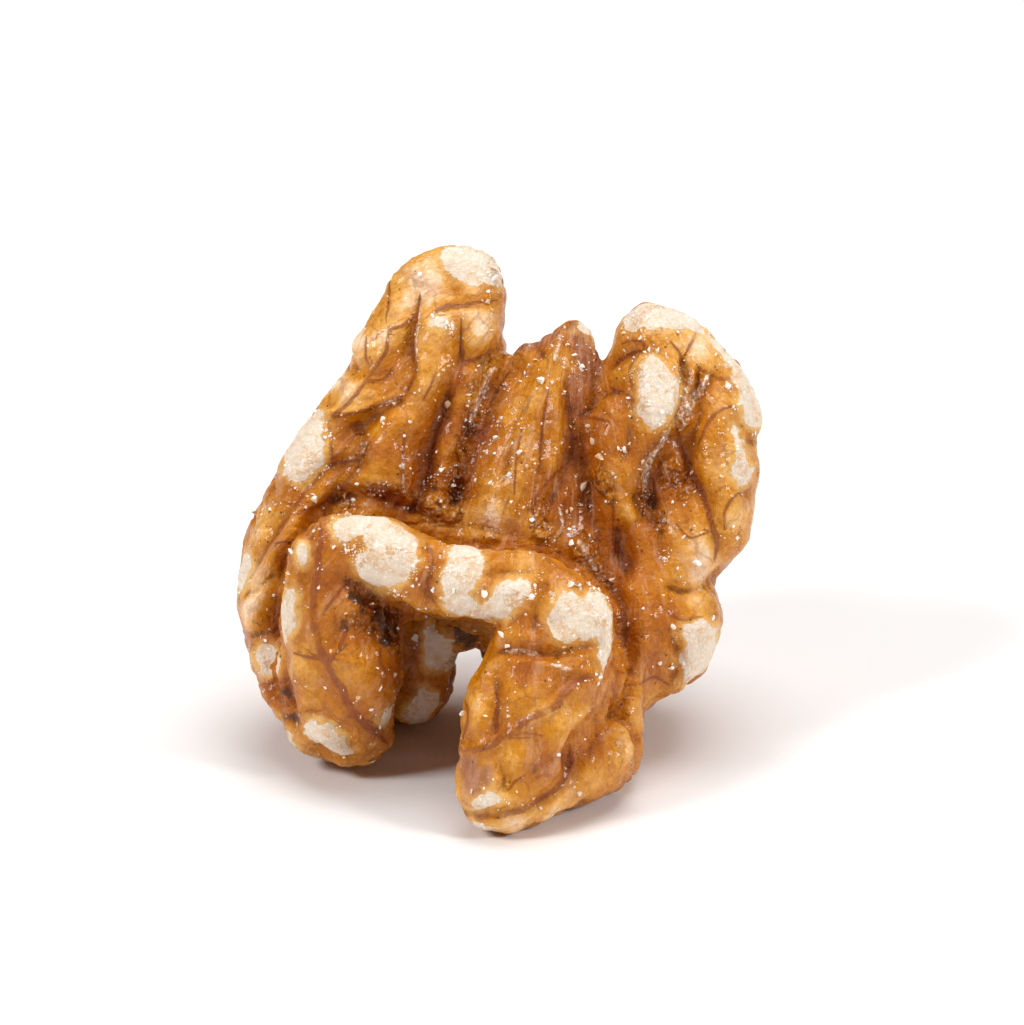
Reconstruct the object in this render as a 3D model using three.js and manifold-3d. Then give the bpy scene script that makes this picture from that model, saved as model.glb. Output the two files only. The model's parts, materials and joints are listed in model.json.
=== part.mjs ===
// A walnut kernel half: one shelled cotyledon, standing on its basal lobes with its inner face leaning back.
// Millimetres, +Z up. The origin is at the bottom centre of the kernel's own box.
//
// The kernel is one piece. It is laid out in the frame of its inner face: u to the right, v up the face, w out of
// the face, towards the septum. Two wings and the embryo's ridge make the body, and lobes make the basal arch.
import * as THREE from "three";
import { ParametricGeometry } from "three/addons/geometries/ParametricGeometry.js";
import { mergeVertices } from "three/addons/utils/BufferGeometryUtils.js";
import Module from "manifold-3d";

const wasm = await Module();
wasm.setup();

// Driving dimensions
const FACE_LEAN = THREE.MathUtils.degToRad(22); // how far the inner face leans back from upright
const FACE_HEIGHT = 15.4; // height of the face frame's origin above the surface the kernel stands on
const BOX_SHIFT = [0.05, -2.7]; // brings the box's centre over the origin, along X and Y
const RIM_LEVEL = -6.6; // w of the body's edge
const FOOT_LINE = -8; // v below which the body curls forwards
const FOOT_CURL = 0.75; // how far it comes forwards for each millimetre down
const RIM_FRONT = 0.9; // least thickness of the body before its edge's level
const RIM_BACK = 3.0; // and behind it
const VALLEY_LEVEL = -5.0; // w of the deepest valleys of the inner face
const CREST_FALL = 1.5; // how far a crest falls from its top to the edges of its width
const DOME = { v: -1.5, halfWidth: 17.6, halfHeight: 19, depth: 4.6 }; // the outer side, under its gyri
const GYRUS_HEIGHT = 1.8;
const VALLEY_ROUND = 1.1; // how softly neighbouring crests and gyri meet

// Fineness of the facets
const SLICES = 54; // round the edge of a wing
const STACKS = 36; // from the middle of a wing's face over its edge to the middle of its back
const SIDES = 12; // round a lobe
const CAP_RINGS = 3; // in each rounded end of a lobe
const STEP = 1.8; // along a lobe

// Crests of the inner face: points [u, v, w of the top, half the width].
const CRESTS = [
  // the embryo's tip and the ridge below it
  [[4.7, 12.6, -5.0, 1.5], [3.9, 9.6, -3.8, 2.2], [2.6, 5.4, -3.0, 3.0], [1.5, 0.8, -2.6, 3.5], [0.8, -7.0, -2.4, 3.8]],
  // left wing: along the rim, the middle, beside the embryo
  [[-4.4, 16.2, -4.4, 2.4], [-6.6, 12.6, -4.0, 2.2], [-8.9, 9.0, -3.6, 2.2], [-11.2, 5.6, -3.2, 2.4],
    [-13.4, 1.4, -2.8, 2.4], [-14.2, -3.4, -2.6, 2.4], [-13.6, -8.0, -3.0, 2.2]],
  [[-3.6, 13.4, -3.6, 1.5], [-4.6, 10.0, -3.1, 1.9], [-6.0, 7.0, -2.9, 2.1], [-7.6, 3.8, -2.7, 2.4], [-8.6, 0.6, -2.9, 2.5]],
  [[-1.4, 16.2, -4.2, 2.0], [-1.5, 12.4, -3.6, 1.9], [-2.3, 8.4, -3.4, 2.1], [-3.6, 5.0, -3.5, 2.2], [-4.4, 1.2, -3.7, 2.2]],
  // right wing: beside the embryo, along the rim, the fold between, and the low fold at its foot
  [[9.0, 13.0, -4.4, 2.2], [9.5, 9.4, -2.9, 2.4], [8.6, 6.0, -2.7, 2.6], [7.2, 3.0, -3.1, 2.4], [6.2, 0.0, -3.6, 2.2]],
  [[12.4, 11.6, -4.6, 2.2], [14.2, 8.0, -3.8, 2.1], [14.0, 4.0, -3.2, 2.3], [13.6, 0.6, -3.0, 2.2], [12.2, -2.6, -3.1, 1.9],
    [12.2, -5.6, -2.5, 2.2], [11.4, -8.2, -2.6, 2.0]],
  [[10.8, 5.4, -4.2, 2.0], [10.7, 1.6, -3.3, 2.3], [10.0, -2.0, -2.9, 2.5], [8.8, -5.4, -2.2, 2.7], [7.6, -9.4, -1.2, 2.6],
    [7.2, -12.2, 0.2, 2.4], [6.4, -14.6, 1.4, 2.4]],
  [[5.4, -1.4, -3.6, 2.2], [6.0, -5.4, -2.8, 2.6]],
];

// Gyri of the outer side: points [u, v, half the width].
const GYRI = [
  // left wing, from the top down
  [[-1.0, 14.6, 2.2], [-3.6, 14.9, 2.3], [-6.6, 13.0, 2.3]],
  [[0.2, 10.6, 2.1], [-2.8, 10.2, 2.4], [-5.4, 9.0, 2.3], [-8.8, 9.4, 2.3]],
  [[0.4, 6.4, 2.2], [-2.6, 5.4, 2.3], [-5.6, 4.6, 2.2], [-8.0, 5.6, 2.2], [-12.2, 4.6, 2.4]],
  [[0.2, 1.8, 2.1], [-2.6, 1.2, 2.3], [-5.2, 0.2, 2.2]],
  [[-7.2, 1.4, 2.2], [-10.0, 0.4, 2.2], [-13.0, 1.2, 2.2], [-15.4, 0.6, 2.2]],
  [[0.0, -2.4, 2.2], [-3.0, -3.2, 2.3], [-6.2, -4.0, 2.2], [-9.0, -3.4, 2.2], [-12.2, -3.2, 2.2], [-15.6, -3.6, 2.2]],
  [[-0.4, -6.8, 2.1], [-3.2, -7.4, 2.2], [-6.0, -8.2, 2.2]],
  [[-8.2, -7.6, 2.2], [-11.2, -7.2, 2.2], [-14.8, -7.6, 2.2]],
  [[-0.8, -10.8, 1.9], [-4.6, -11.6, 2.0], [-9.0, -11.4, 2.1], [-12.6, -10.8, 2.0]],
  // right wing, from the top down
  [[7.2, 11.4, 2.1], [9.6, 12.4, 2.2], [12.6, 11.6, 2.2]],
  [[3.6, 8.0, 2.1], [6.6, 7.4, 2.3], [9.4, 8.2, 2.3], [12.2, 7.4, 2.2], [15.2, 7.8, 2.2]],
  [[2.4, 4.0, 2.2], [5.0, 3.4, 2.3], [7.6, 3.8, 2.2]],
  [[9.6, 4.0, 2.2], [12.0, 3.0, 2.2], [15.4, 3.6, 2.2]],
  [[2.0, -0.4, 2.2], [5.2, -0.8, 2.3], [8.0, -0.4, 2.2], [10.6, -1.2, 2.2], [14.6, -0.6, 2.2]],
  [[2.0, -4.6, 2.1], [4.8, -5.2, 2.3], [7.6, -4.6, 2.2]],
  [[9.6, -5.4, 2.2], [13.4, -5.2, 2.2]],
  [[1.8, -8.8, 2.1], [4.8, -9.2, 2.2], [8.0, -8.8, 2.2], [11.6, -8.6, 2.0]],
];

// Edges of the body's parts: points [u, v], clockwise seen from the face.
const LEFT_WING = {
  heart: [-6.0, 2.6],
  edge: [
    [-12.8, -12.4], [-14.5, -10.7], [-15.3, -8.6], [-16.1, -6.6], [-16.5, -4.2], [-16.2, -1.6], [-15.5, 0.9], [-14.2, 3.7],
    [-12.2, 7.0], [-10.2, 9.4], [-9.2, 10.9], [-8.5, 12.9], [-7.3, 15.1], [-6.2, 16.8], [-4.9, 17.7], [-3.2, 18.1],
    [-1.5, 18.1], [-0.1, 17.3], [0.5, 16.0], [0.4, 14.2], [0.0, 12.6], [0.4, 11.2], [1.6, 8.6], [2.4, 4.0],
    [2.6, -1.0], [2.0, -5.6], [-0.4, -7.0], [-3.2, -7.2], [-6.0, -8.4], [-8.4, -10.8], [-10.2, -11.8],
  ],
};
const RIGHT_WING = {
  heart: [9.0, 0.4],
  edge: [
    [1.6, -8.8], [0.2, -5.0], [0.6, 0.0], [2.0, 4.4], [4.2, 8.0], [6.0, 10.0], [6.8, 11.4], [7.4, 13.2],
    [8.6, 14.5], [10.4, 14.3], [12.4, 13.2], [14.6, 11.2], [16.1, 8.9], [16.4, 7.0], [15.9, 5.0], [16.0, 3.0],
    [15.8, 0.9], [15.2, -1.0], [13.9, -2.2], [13.4, -3.2], [13.9, -4.6], [13.9, -6.2], [13.3, -8.0], [11.8, -9.5],
    [9.9, -10.3], [8.7, -11.4], [8.8, -13.0], [8.6, -14.3], [7.5, -15.5], [5.4, -15.8], [3.2, -13.4],
  ],
};
const EMBRYO = {
  heart: [1.6, 1.0],
  edge: [
    [-2.0, -6.6], [-3.0, -3.4], [-2.6, 1.0], [-1.4, 6.0], [-0.4, 10.2], [1.0, 11.5], [2.5, 12.0], [3.5, 12.9],
    [4.5, 13.7], [5.6, 13.2], [6.2, 11.6], [5.9, 9.4], [5.4, 6.0], [5.0, 2.0], [4.4, -3.0], [3.4, -6.4], [0.6, -7.4],
  ],
};

// A smooth line through points [u, v, ...sizes], as samples of the same form.
function smoothLine(points) {
  const places = new THREE.CatmullRomCurve3(points.map(([u, v]) => new THREE.Vector3(u, v, 0)));
  const sizes = new THREE.CatmullRomCurve3(points.map(([, , a, b = 0]) => new THREE.Vector3(a, b, 0)));
  const count = 6 * points.length;
  return Array.from({ length: count + 1 }, (_, i) => {
    const place = places.getPoint(i / count);
    const size = sizes.getPoint(i / count);
    return [place.x, place.y, size.x, size.y];
  });
}

// The sizes of a smooth line where it passes closest to (u, v), and the distance to it.
function closest(line, u, v) {
  let best = { distance: Infinity, sizes: [0, 0] };
  for (let i = 1; i < line.length; i++) {
    const [u0, v0, a0, b0] = line[i - 1];
    const [u1, v1, a1, b1] = line[i];
    const reach = ((u - u0) * (u1 - u0) + (v - v0) * (v1 - v0)) / ((u1 - u0) ** 2 + (v1 - v0) ** 2);
    const t = THREE.MathUtils.clamp(reach, 0, 1);
    const distance = Math.hypot(u - u0 - t * (u1 - u0), v - v0 - t * (v1 - v0));
    if (distance < best.distance) {
      best = { distance, sizes: [a0 + t * (a1 - a0), b0 + t * (b1 - b0)] };
    }
  }
  return best;
}

// The higher of two levels, rounded where they meet.
function highest(a, b) {
  return Math.max(a, b) + Math.max(0, VALLEY_ROUND - Math.abs(a - b)) ** 2 / (4 * VALLEY_ROUND);
}

const crestLines = CRESTS.map(smoothLine);
const gyrusLines = GYRI.map(smoothLine);

// The w of the body's edge level at (u, v).
function rimLevel(u, v) {
  return RIM_LEVEL + FOOT_CURL * Math.max(0, FOOT_LINE - v);
}

// The w of the inner face at (u, v): crests with narrow valleys between them.
function innerFace(u, v) {
  return crestLines.reduce((level, line) => {
    const { distance, sizes: [top, half] } = closest(line, u, v);
    return highest(level, top - CREST_FALL * (distance / half) ** 2);
  }, Math.max(VALLEY_LEVEL, rimLevel(u, v) + RIM_FRONT));
}

// The w of the outer side at (u, v): a dome covered with gyri.
function outerSide(u, v) {
  const dome = Math.sqrt(Math.max(0, 1 - (u / DOME.halfWidth) ** 2 - ((v - DOME.v) / DOME.halfHeight) ** 2));
  const gyrus = gyrusLines.reduce((height, line) => {
    const { distance, sizes: [half] } = closest(line, u, v);
    return highest(height, GYRUS_HEIGHT * (1 - (distance / half) ** 2));
  }, 0);
  return rimLevel(u, v) - RIM_BACK - DOME.depth * dome - gyrus;
}

// A pillow with the given edge, between a front and a back surface. Its edge is round.
function pillow({ heart, edge }, front, back, slices = SLICES, stacks = STACKS) {
  const outline = new THREE.CatmullRomCurve3(edge.map(([u, v]) => new THREE.Vector3(u, v, 0)), true);
  const rim = outline.getSpacedPoints(slices);
  const place = (s, t, target) => {
    const across = 1 - Math.abs(2 * t - 1); // 0 in the middle of either side, 1 at the edge
    const share = 1 - (1 - across) ** 1.35;
    const { x, y } = rim[Math.round(s * slices) % slices];
    const u = heart[0] + (x - heart[0]) * share;
    const v = heart[1] + (y - heart[1]) * share;
    const level = t < 0.5 ? front(u, v) : back(u, v);
    target.set(u, v, rimLevel(u, v) + (level - rimLevel(u, v)) * Math.sqrt(1 - share ** 5));
  };
  return new ParametricGeometry(place, slices, stacks);
}

// A closed capsule bent along the curve through path, whose points are [u, v, w, radius].
// flat scales its thickness along the face's normal.
function lobe(path, flat = 1) {
  const centres = path.map(([u, v, w]) => new THREE.Vector3(u, v, w));
  const radii = path.map(([, , , r]) => new THREE.Vector3(r, 0, 0));
  const curve = new THREE.CatmullRomCurve3(centres);
  const radiusCurve = new THREE.CatmullRomCurve3(radii);
  const steps = Math.max(2, Math.round(curve.getLength() / STEP));

  const ringAt = (t, share, overhang) => {
    const along = curve.getTangent(t).normalize();
    const radius = radiusCurve.getPoint(t).x;
    const out = new THREE.Vector3(0, 0, 1)
      .addScaledVector(along, -along.z)
      .normalize();
    const side = new THREE.Vector3().crossVectors(along, out);
    const centre = curve.getPoint(t).addScaledVector(along, overhang * radius);
    return { centre, side, out, radius, share };
  };
  const cap = (t, end) =>
    Array.from({ length: CAP_RINGS }, (_, i) => {
      const angle = (i / CAP_RINGS) * (Math.PI / 2);
      return ringAt(t, Math.sin(angle), end * Math.cos(angle));
    });
  const rings = [
    ...cap(0, -1),
    ...Array.from({ length: steps + 1 }, (_, i) => ringAt(i / steps, 1, 0)),
    ...cap(1, 1).reverse(),
  ];

  const profile = rings.map((ring, i) => new THREE.Vector2(ring.share, i));
  const blank = new THREE.LatheGeometry(profile, SIDES);
  const position = blank.getAttribute("position");
  const point = new THREE.Vector3();
  for (let i = 0; i < position.count; i++) {
    const ring = rings[Math.round(position.getY(i))];
    point
      .copy(ring.centre)
      .addScaledVector(ring.side, position.getX(i) * ring.radius)
      .addScaledVector(ring.out, position.getZ(i) * ring.radius * flat);
    position.setXYZ(i, point.x, point.y, point.z);
  }
  return blank;
}

function body() {
  return [
    pillow(LEFT_WING, innerFace, outerSide),
    pillow(RIGHT_WING, innerFace, outerSide),
    pillow(EMBRYO, innerFace, () => RIM_LEVEL - 3, 36, 20),
  ];
}

// The basal lobes curl forwards into an arch that stands on two legs.
function basalArch() {
  const crown = [
    lobe([
      [-10.4, -1.6, 0.0, 2.4], [-7.8, -1.2, 0.8, 2.6], [-5.0, -2.1, 1.4, 2.3], [-2.4, -2.9, 2.0, 2.2],
      [0.2, -3.1, 2.6, 2.4], [2.6, -3.7, 3.2, 2.6], [4.5, -5.4, 3.4, 2.5],
    ]),
    lobe([[-9.4, -3.6, -2.8, 2.8], [-5.0, -3.0, -2.0, 2.2], [-0.6, -3.6, -1.4, 2.2], [3.2, -5.6, -0.8, 3.0],
      [5.2, -8.6, -0.6, 2.6]]),
  ];
  const leftLeg = [
    lobe([[-9.8, -1.6, 0.2, 3.0], [-9.5, -6.2, -0.8, 3.7], [-9.4, -10.0, -2.4, 3.3], [-9.0, -11.9, -3.4, 2.7]], 0.8),
    lobe([[-11.0, -4.4, -3.0, 2.7], [-11.3, -8.4, -3.6, 2.6], [-11.3, -11.6, -4.0, 2.3]]),
  ];
  const rightLeg = [
    lobe([[3.4, -6.6, 3.2, 3.7], [2.0, -10.2, 3.6, 4.1], [0.7, -13.4, 4.0, 3.4], [0.0, -15.4, 4.2, 2.8]], 0.8),
    lobe([[3.8, -7.2, 0.4, 3.2], [3.6, -10.6, 1.2, 3.0], [3.2, -12.8, 1.8, 2.6]]),
    lobe([[6.0, -13.6, 0.2, 2.4], [3.4, -14.4, 1.9, 2.6], [0.2, -15.3, 3.9, 2.8]]),
  ];
  return [...crown, ...leftLeg, ...rightLeg];
}

// The gyri at the foot of the outer side, which the back of the kernel rests on.
function rearFeet() {
  return [
    lobe([[-5.0, -5.4, -7.6, 2.6], [-5.3, -9.6, -9.0, 2.4]]),
    lobe([[-12.4, -8.2, -7.4, 2.4], [-9.2, -9.3, -10.2, 2.5], [-5.6, -9.6, -11.9, 2.4]]),
    lobe([[1.2, -6.8, -10.8, 2.7], [4.0, -7.4, -10.8, 2.8], [8.0, -8.0, -8.6, 2.8]]),
    lobe([[1.6, -9.3, -12.1, 2.2], [4.8, -9.6, -11.9, 2.4], [8.0, -9.2, -10.0, 2.4], [10.2, -7.2, -7.6, 2.3]]),
  ];
}

function solidOf(geometry) {
  geometry.deleteAttribute("normal");
  geometry.deleteAttribute("uv");
  const merged = mergeVertices(geometry, 1e-3);
  return new wasm.Manifold(
    new wasm.Mesh({
      numProp: 3,
      vertProperties: merged.getAttribute("position").array,
      triVerts: new Uint32Array(merged.index.array),
    }),
  );
}

function geometryOf(solid) {
  const mesh = solid.getMesh();
  return new THREE.BufferGeometry()
    .setAttribute("position", new THREE.BufferAttribute(mesh.vertProperties, 3))
    .setIndex(new THREE.BufferAttribute(mesh.triVerts, 1));
}

// From the frame of the face to the part's frame.
function stand(geometry) {
  return geometry
    .rotateX(Math.PI / 2 - FACE_LEAN)
    .translate(BOX_SHIFT[0], BOX_SHIFT[1], FACE_HEIGHT);
}

// Everything below the surface is trimmed, which leaves the small flat spots that the kernel rests on.
function ground() {
  const size = 80;
  return solidOf(new THREE.BoxGeometry(size, size, size).translate(0, 0, -size / 2));
}

function kernelGeometry() {
  const joined = [...body(), ...basalArch(), ...rearFeet()]
    .map((geometry) => solidOf(stand(geometry)))
    .reduce((whole, next) => whole.add(next));
  return geometryOf(joined.subtract(ground()));
}

const skin = new THREE.MeshStandardMaterial({ color: "#b9742f", roughness: 0.48, metalness: 0 });
const kernel = new THREE.Mesh(kernelGeometry(), skin);
kernel.name = "kernel";

const walnutHalf = new THREE.Group();
walnutHalf.add(kernel);

export default walnutHalf;
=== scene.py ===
import json
import math

import bpy
import numpy as np
from mathutils import Matrix, Vector, noise

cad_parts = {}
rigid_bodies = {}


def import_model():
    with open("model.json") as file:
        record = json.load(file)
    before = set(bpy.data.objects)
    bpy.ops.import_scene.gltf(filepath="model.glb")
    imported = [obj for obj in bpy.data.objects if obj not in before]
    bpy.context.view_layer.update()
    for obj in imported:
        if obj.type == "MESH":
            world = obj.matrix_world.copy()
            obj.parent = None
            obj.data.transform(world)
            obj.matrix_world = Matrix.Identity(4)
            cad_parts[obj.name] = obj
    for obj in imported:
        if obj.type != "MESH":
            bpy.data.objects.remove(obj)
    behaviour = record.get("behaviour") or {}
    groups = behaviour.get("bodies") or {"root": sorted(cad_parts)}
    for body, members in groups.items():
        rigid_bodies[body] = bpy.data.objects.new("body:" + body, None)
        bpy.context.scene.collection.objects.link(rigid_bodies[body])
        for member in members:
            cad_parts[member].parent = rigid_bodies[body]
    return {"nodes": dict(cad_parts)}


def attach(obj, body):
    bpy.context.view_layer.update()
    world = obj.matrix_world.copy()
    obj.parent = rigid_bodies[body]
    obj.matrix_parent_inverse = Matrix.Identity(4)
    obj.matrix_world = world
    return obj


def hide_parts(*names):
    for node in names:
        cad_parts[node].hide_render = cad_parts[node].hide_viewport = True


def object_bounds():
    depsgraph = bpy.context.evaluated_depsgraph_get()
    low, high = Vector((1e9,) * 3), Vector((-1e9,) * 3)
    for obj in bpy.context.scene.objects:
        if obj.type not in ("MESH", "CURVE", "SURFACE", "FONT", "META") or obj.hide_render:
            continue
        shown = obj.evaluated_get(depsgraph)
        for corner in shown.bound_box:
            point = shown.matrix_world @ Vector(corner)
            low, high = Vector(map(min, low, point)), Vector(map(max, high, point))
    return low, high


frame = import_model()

bl_info = {
    "name": "Walnut Kernel Half",
    "version": (1, 0, 0),
    "blender": (4, 5, 0),
    "location": "View3D > Sidebar > Walnut",
    "description": "Makes a shelled walnut half, with its seed coat and rubbed crests, on a studio floor",
    "category": "Object",
}

MM = 0.001
CAD_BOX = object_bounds()

# The inner face leans back by this angle. Its own frame is u to the right, v up the face and w out of it, in
# mm. Every line and spot in the tables below is in that frame.
FACE_LEAN = math.radians(22)
FACE_ORIGIN = Vector((0.05, -2.7, 15.4)) * MM
FACE_RIGHT = Vector((1, 0, 0))
FACE_UP = Vector((0, math.sin(FACE_LEAN), math.cos(FACE_LEAN)))
FACE_OUT = Vector((0, -math.cos(FACE_LEAN), math.sin(FACE_LEAN)))

# The camera looks straight at the face: the place it aims at, as (u, v, w), and its distance in metres.
AIM = (0.74, 1.39, -2.0)
CAMERA_DISTANCE = 0.31605

# What is stored where no line is near: distance over a line's half width, and depth in mm inside a line.
FAR = 9.0
OUTSIDE = -3.0

# Share of a fold's stated height that is cut, half width of the dark line of painted shade in it in mm, and
# the height below which a fold is dark enough in its own shade and has no such line.
FOLD_DEPTH = 0.72
FOLD_LINE = 0.13
SHADED_FOLD = -0.85

# The point above the embryo's tip that its strands fan out from, as (u, v).
FAN_TOP = (4.9, 19.0)

# Crumbs: how many shapes, how much sizes vary, the largest size, and how far one stands out, as a share of it.
SHARD_COUNT = 8
CRUMB_VARIETY = 0.68
LARGEST_CRUMB = 0.34 * MM
CRUMB_LIFT = 0.15

# Relief of the inner face's two wings and the embryo's ridge: (height, half width, points). A fold's height
# is below 0.
WING_RELIEF = [
    # left wing: swellings
    (0.7, 1.5, [(-3.9, 13), (-4, 11.4), (-4.4, 9.6)]), (0.6, 1.3, [(-1.4, 13.4), (-1.3, 12.4)]),
    (0.8, 1.5, [(-6.4, 6.8), (-6.9, 5.4), (-6.9, 4.2)]), (0.35, 1.2, [(-6.6, 14.2), (-6.4, 13.4)]),
    (0.5, 1.4, [(-8.2, 11.8), (-8.8, 10.6)]), (0.4, 1.2, [(-9.3, 9)]), (0.4, 1.6, [(-5, 16.2), (-3.4, 16.6)]),
    (0.4, 1.5, [(-12.2, 6.2), (-12.6, 4.6)]), (0.45, 1.5, [(-11.6, 1.6), (-12.6, 0.2)]),
    (0.5, 1.2, [(-15, -4.6)]), (0.5, 1.1, [(-14.5, -7.7)]), (0.3, 0.9, [(-13.4, -3.2)]),
    (0.35, 0.8, [(-2.2, 9.8), (-2.5, 8.4)]),
    # left wing: folds
    (-0.55, 0.4, [(-4.9, 15.2), (-5.15, 13.6), (-5.4, 11.8), (-5.3, 10.4), (-5.4, 9.6), (-5.9, 8.7)]),
    (0.25, 0.22, [(-4.7, 14.6), (-4.9, 13.2), (-5.1, 11.6), (-4.9, 10.2)]),
    (-0.8, 0.55, [(-5.8, 8.5), (-7, 7.7), (-8.2, 6.9), (-8.9, 6.2)]),
    (-0.35, 0.6, [(-8.6, 7), (-9.6, 6.6), (-10.2, 5.8)]),
    (0.3, 0.2, [(-10.6, 7.3), (-9.3, 7.5), (-7.8, 8), (-6.4, 8.6)]),
    (0.22, 0.18, [(-10.5, 7.3), (-9.4, 8.2), (-8.4, 9.4), (-7.6, 10.6), (-7, 12.2)]),
    (-0.35, 0.3, [(-4.4, 13.5), (-3.4, 14.05), (-2.2, 14.15), (-0.5, 14.4)]),
    (-0.35, 0.35, [(-2.4, 13), (-2.4, 11.4), (-2.6, 10)]),
    (-0.4, 0.45, [(-0.4, 11.6), (-1.4, 10.9), (-2.3, 10.7)]),
    (-0.75, 0.6, [(-3, 9.4), (-3.5, 7.6), (-4.3, 5.6), (-4.6, 3.8), (-5, 2)]),
    (-0.5, 0.5, [(-8.2, 5.9), (-8.5, 4.6), (-9.4, 3.4), (-9.9, 2.2)]),
    (-0.35, 0.4, [(-8.3, 4.95), (-9.3, 4.55), (-10.6, 4.3), (-11.9, 3.1), (-13.2, 1.2), (-14.4, -0.7),
        (-15.3, -2.2)]),
    (0.2, 0.2, [(-5.95, 5.4), (-6, 3.6), (-5.9, 2)]), (-0.3, 0.5, [(-5.6, 3), (-5.4, 1.4)]),
    (-0.35, 0.35, [(-15.8, -3.7), (-14.9, -3.3), (-14, -2.3)]),
    (-0.4, 0.35, [(-15.6, -6.4), (-14.6, -6.1), (-13.6, -6.2)]),
    (-0.4, 0.4, [(-15.2, -9), (-13.8, -9.1), (-12.8, -8.8)]),
    # between the left wing and the embryo
    (-1, 0.75, [(-0.2, 9.9), (-1.3, 7.8), (-2, 5.6), (-2.6, 3.6), (-3, 1.6)]),
    (0.45, 0.35, [(-0.3, 10.6), (-0.9, 9.2), (-1.5, 8)]),
    # the embryo's ridge
    (0.55, 1.5, [(3, 10.4), (1.8, 7.2), (0.7, 4.2), (-0.2, 1.2)]),
    (-0.3, 0.3, [(3.2, 9.4), (2.6, 6.4), (2.4, 3.8), (1.9, 1.6)]),
    (-0.2, 0.25, [(1.9, 8.6), (0.9, 5.8), (0.2, 3.2)]), (0.2, 0.25, [(3.6, 8.4), (3.5, 6), (3.1, 4.4)]),
    (0.25, 0.3, [(3.9, 12.9), (3.6, 11.2), (2.6, 9.8)]), (-0.35, 0.35, [(2.1, 11.9), (3.1, 10.6)]),
    (-0.6, 0.45, [(4.2, 10.2), (4.2, 8.2), (4.5, 6), (4.2, 4.4), (3.4, 2.8), (3, 1.2)]),
    # right wing: swellings
    (0.9, 1.9, [(9.7, 9.6), (9.5, 8)]), (0.5, 1.3, [(9.6, 12.9), (11.2, 12.8)]),
    (0.6, 1.3, [(7, 7.2), (6.9, 6)]), (0.8, 1.6, [(13.3, 8), (13, 6.6)]),
    (0.55, 1.3, [(14, 4.4), (14.2, 3.2)]), (0.5, 0.8, [(7.4, 1.9), (8.2, 0.8), (8.8, -0.2)]),
    (0.6, 1.5, [(12, 0.2), (11.6, -1.4)]), (0.5, 1, [(14.6, 1.2), (14.7, 0)]),
    (0.35, 0.9, [(6.4, 3.7), (7.3, 4)]), (0.5, 1.5, [(12.3, -7.2), (12.1, -6.2)]),
    (0.45, 1.4, [(9.2, -4.4), (8.8, -6.4)]), (0.35, 1.2, [(13, 11.3)]),
    (0.4, 0.9, [(7.6, -13), (6.6, -14.2)]),
    # right wing: folds
    (-0.45, 0.35, [(6.9, 10.4), (7.9, 11.1), (9, 11.4), (10.3, 11.1)]),
    (-0.55, 0.35, [(11.3, 11.2), (11.3, 9.6), (10.9, 7.8), (10.6, 6.9)]),
    (0.35, 0.22, [(11.8, 10.9), (11.8, 9.6), (11.2, 7.6), (10.9, 6.9)]),
    (-0.45, 0.3, [(12.3, 10.2), (12, 9), (11.3, 7.2)]),
    (0.4, 0.25, [(13, 10.2), (12.5, 9.2), (11.7, 7.8), (11.1, 6.5)]),
    (-1, 0.6, [(10.8, 6.6), (9.9, 5.2), (9.3, 4), (9.2, 2.6), (9.6, 1.4)]),
    (0.45, 0.25, [(10.4, 6.4), (9.6, 5.3), (9, 4.2), (8.85, 2.7)]), (-0.7, 1, [(10.6, 4), (10.8, 2.8)]),
    (-0.5, 0.4, [(10.9, 6.7), (11.3, 5.4), (12, 3.8), (12.7, 2.2), (13.2, 0.4), (13.4, -1.6)]),
    (-0.7, 0.55, [(8.3, 8.6), (8.1, 6.8), (7.9, 5.4), (7.4, 4.4)]),
    (-0.45, 0.45, [(4.6, 7.4), (5.6, 7.7), (6.4, 8.6), (7.8, 8.9)]),
    (-0.8, 0.8, [(5.2, 5.4), (5.4, 3.4), (5.6, 1.4), (6.2, -0.6), (6.8, -2.4)]),
    (-0.5, 0.5, [(7.2, 0.6), (7.6, -0.8), (7.8, -2.6)]), (-0.4, 0.35, [(8.2, 2.6), (8.7, 1.4), (9.8, 0.6)]),
    (-0.45, 0.35, [(13.4, 5.8), (14, 4.8), (14.5, 2.9), (15.4, 2.5)]),
    (-0.35, 0.4, [(15.3, 6.8), (14.2, 6.6), (13.9, 5.6)]),
    (-0.4, 0.35, [(10.2, -3.2), (11.6, -3.5), (13.2, -3)]),
    (-0.4, 0.35, [(10.6, -6.2), (11, -7.6), (10.6, -9.2)]), (-0.35, 0.5, [(10, 1.6), (9.9, 0), (9.8, -1.8)]),
    # where the arch and its legs stand before the wings
    (-1.3, 0.5, [(-12.6, -0.4), (-13.6, -2.6), (-14.2, -5.2), (-13.8, -7.2), (-13.1, -9.2), (-12.8, -11.2)]),
    (-0.9, 0.45, [(-12.4, 0.3), (-10.6, 2), (-8, 2.4), (-5.6, 1.4), (-3.4, 0.5)]),
    (-0.9, 0.45, [(3.4, -1.3), (4.4, -1.8), (6.4, -2.6), (7.6, -4.4)]),
    (-0.35, 0.4, [(-3.6, 0.5), (-0.6, 0.4), (2.2, -0.7), (3.6, -1.3)]),
    (-1.3, 0.55, [(7.5, -4.4), (7.5, -6.6), (7.2, -8.6), (6.8, -10.2), (6, -11.6), (5, -12.8), (4.8, -14)]),
    # notches and bumps of the edge
    (0.6, 1.2, [(-9.6, 11.8)]), (-0.6, 0.6, [(-9.8, 10.5), (-8.6, 10.3)]), (0.5, 1, [(-11.4, 8.4)]),
    (-0.5, 0.6, [(-15, 2.8), (-14, 3)]), (-0.7, 0.7, [(14.2, -2.5), (12.6, -2.9)]), (0.4, 1.3, [(15.6, 4.4)]),
    (-0.4, 0.6, [(16.4, 5.6), (15.2, 5.9)]),
]

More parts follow.
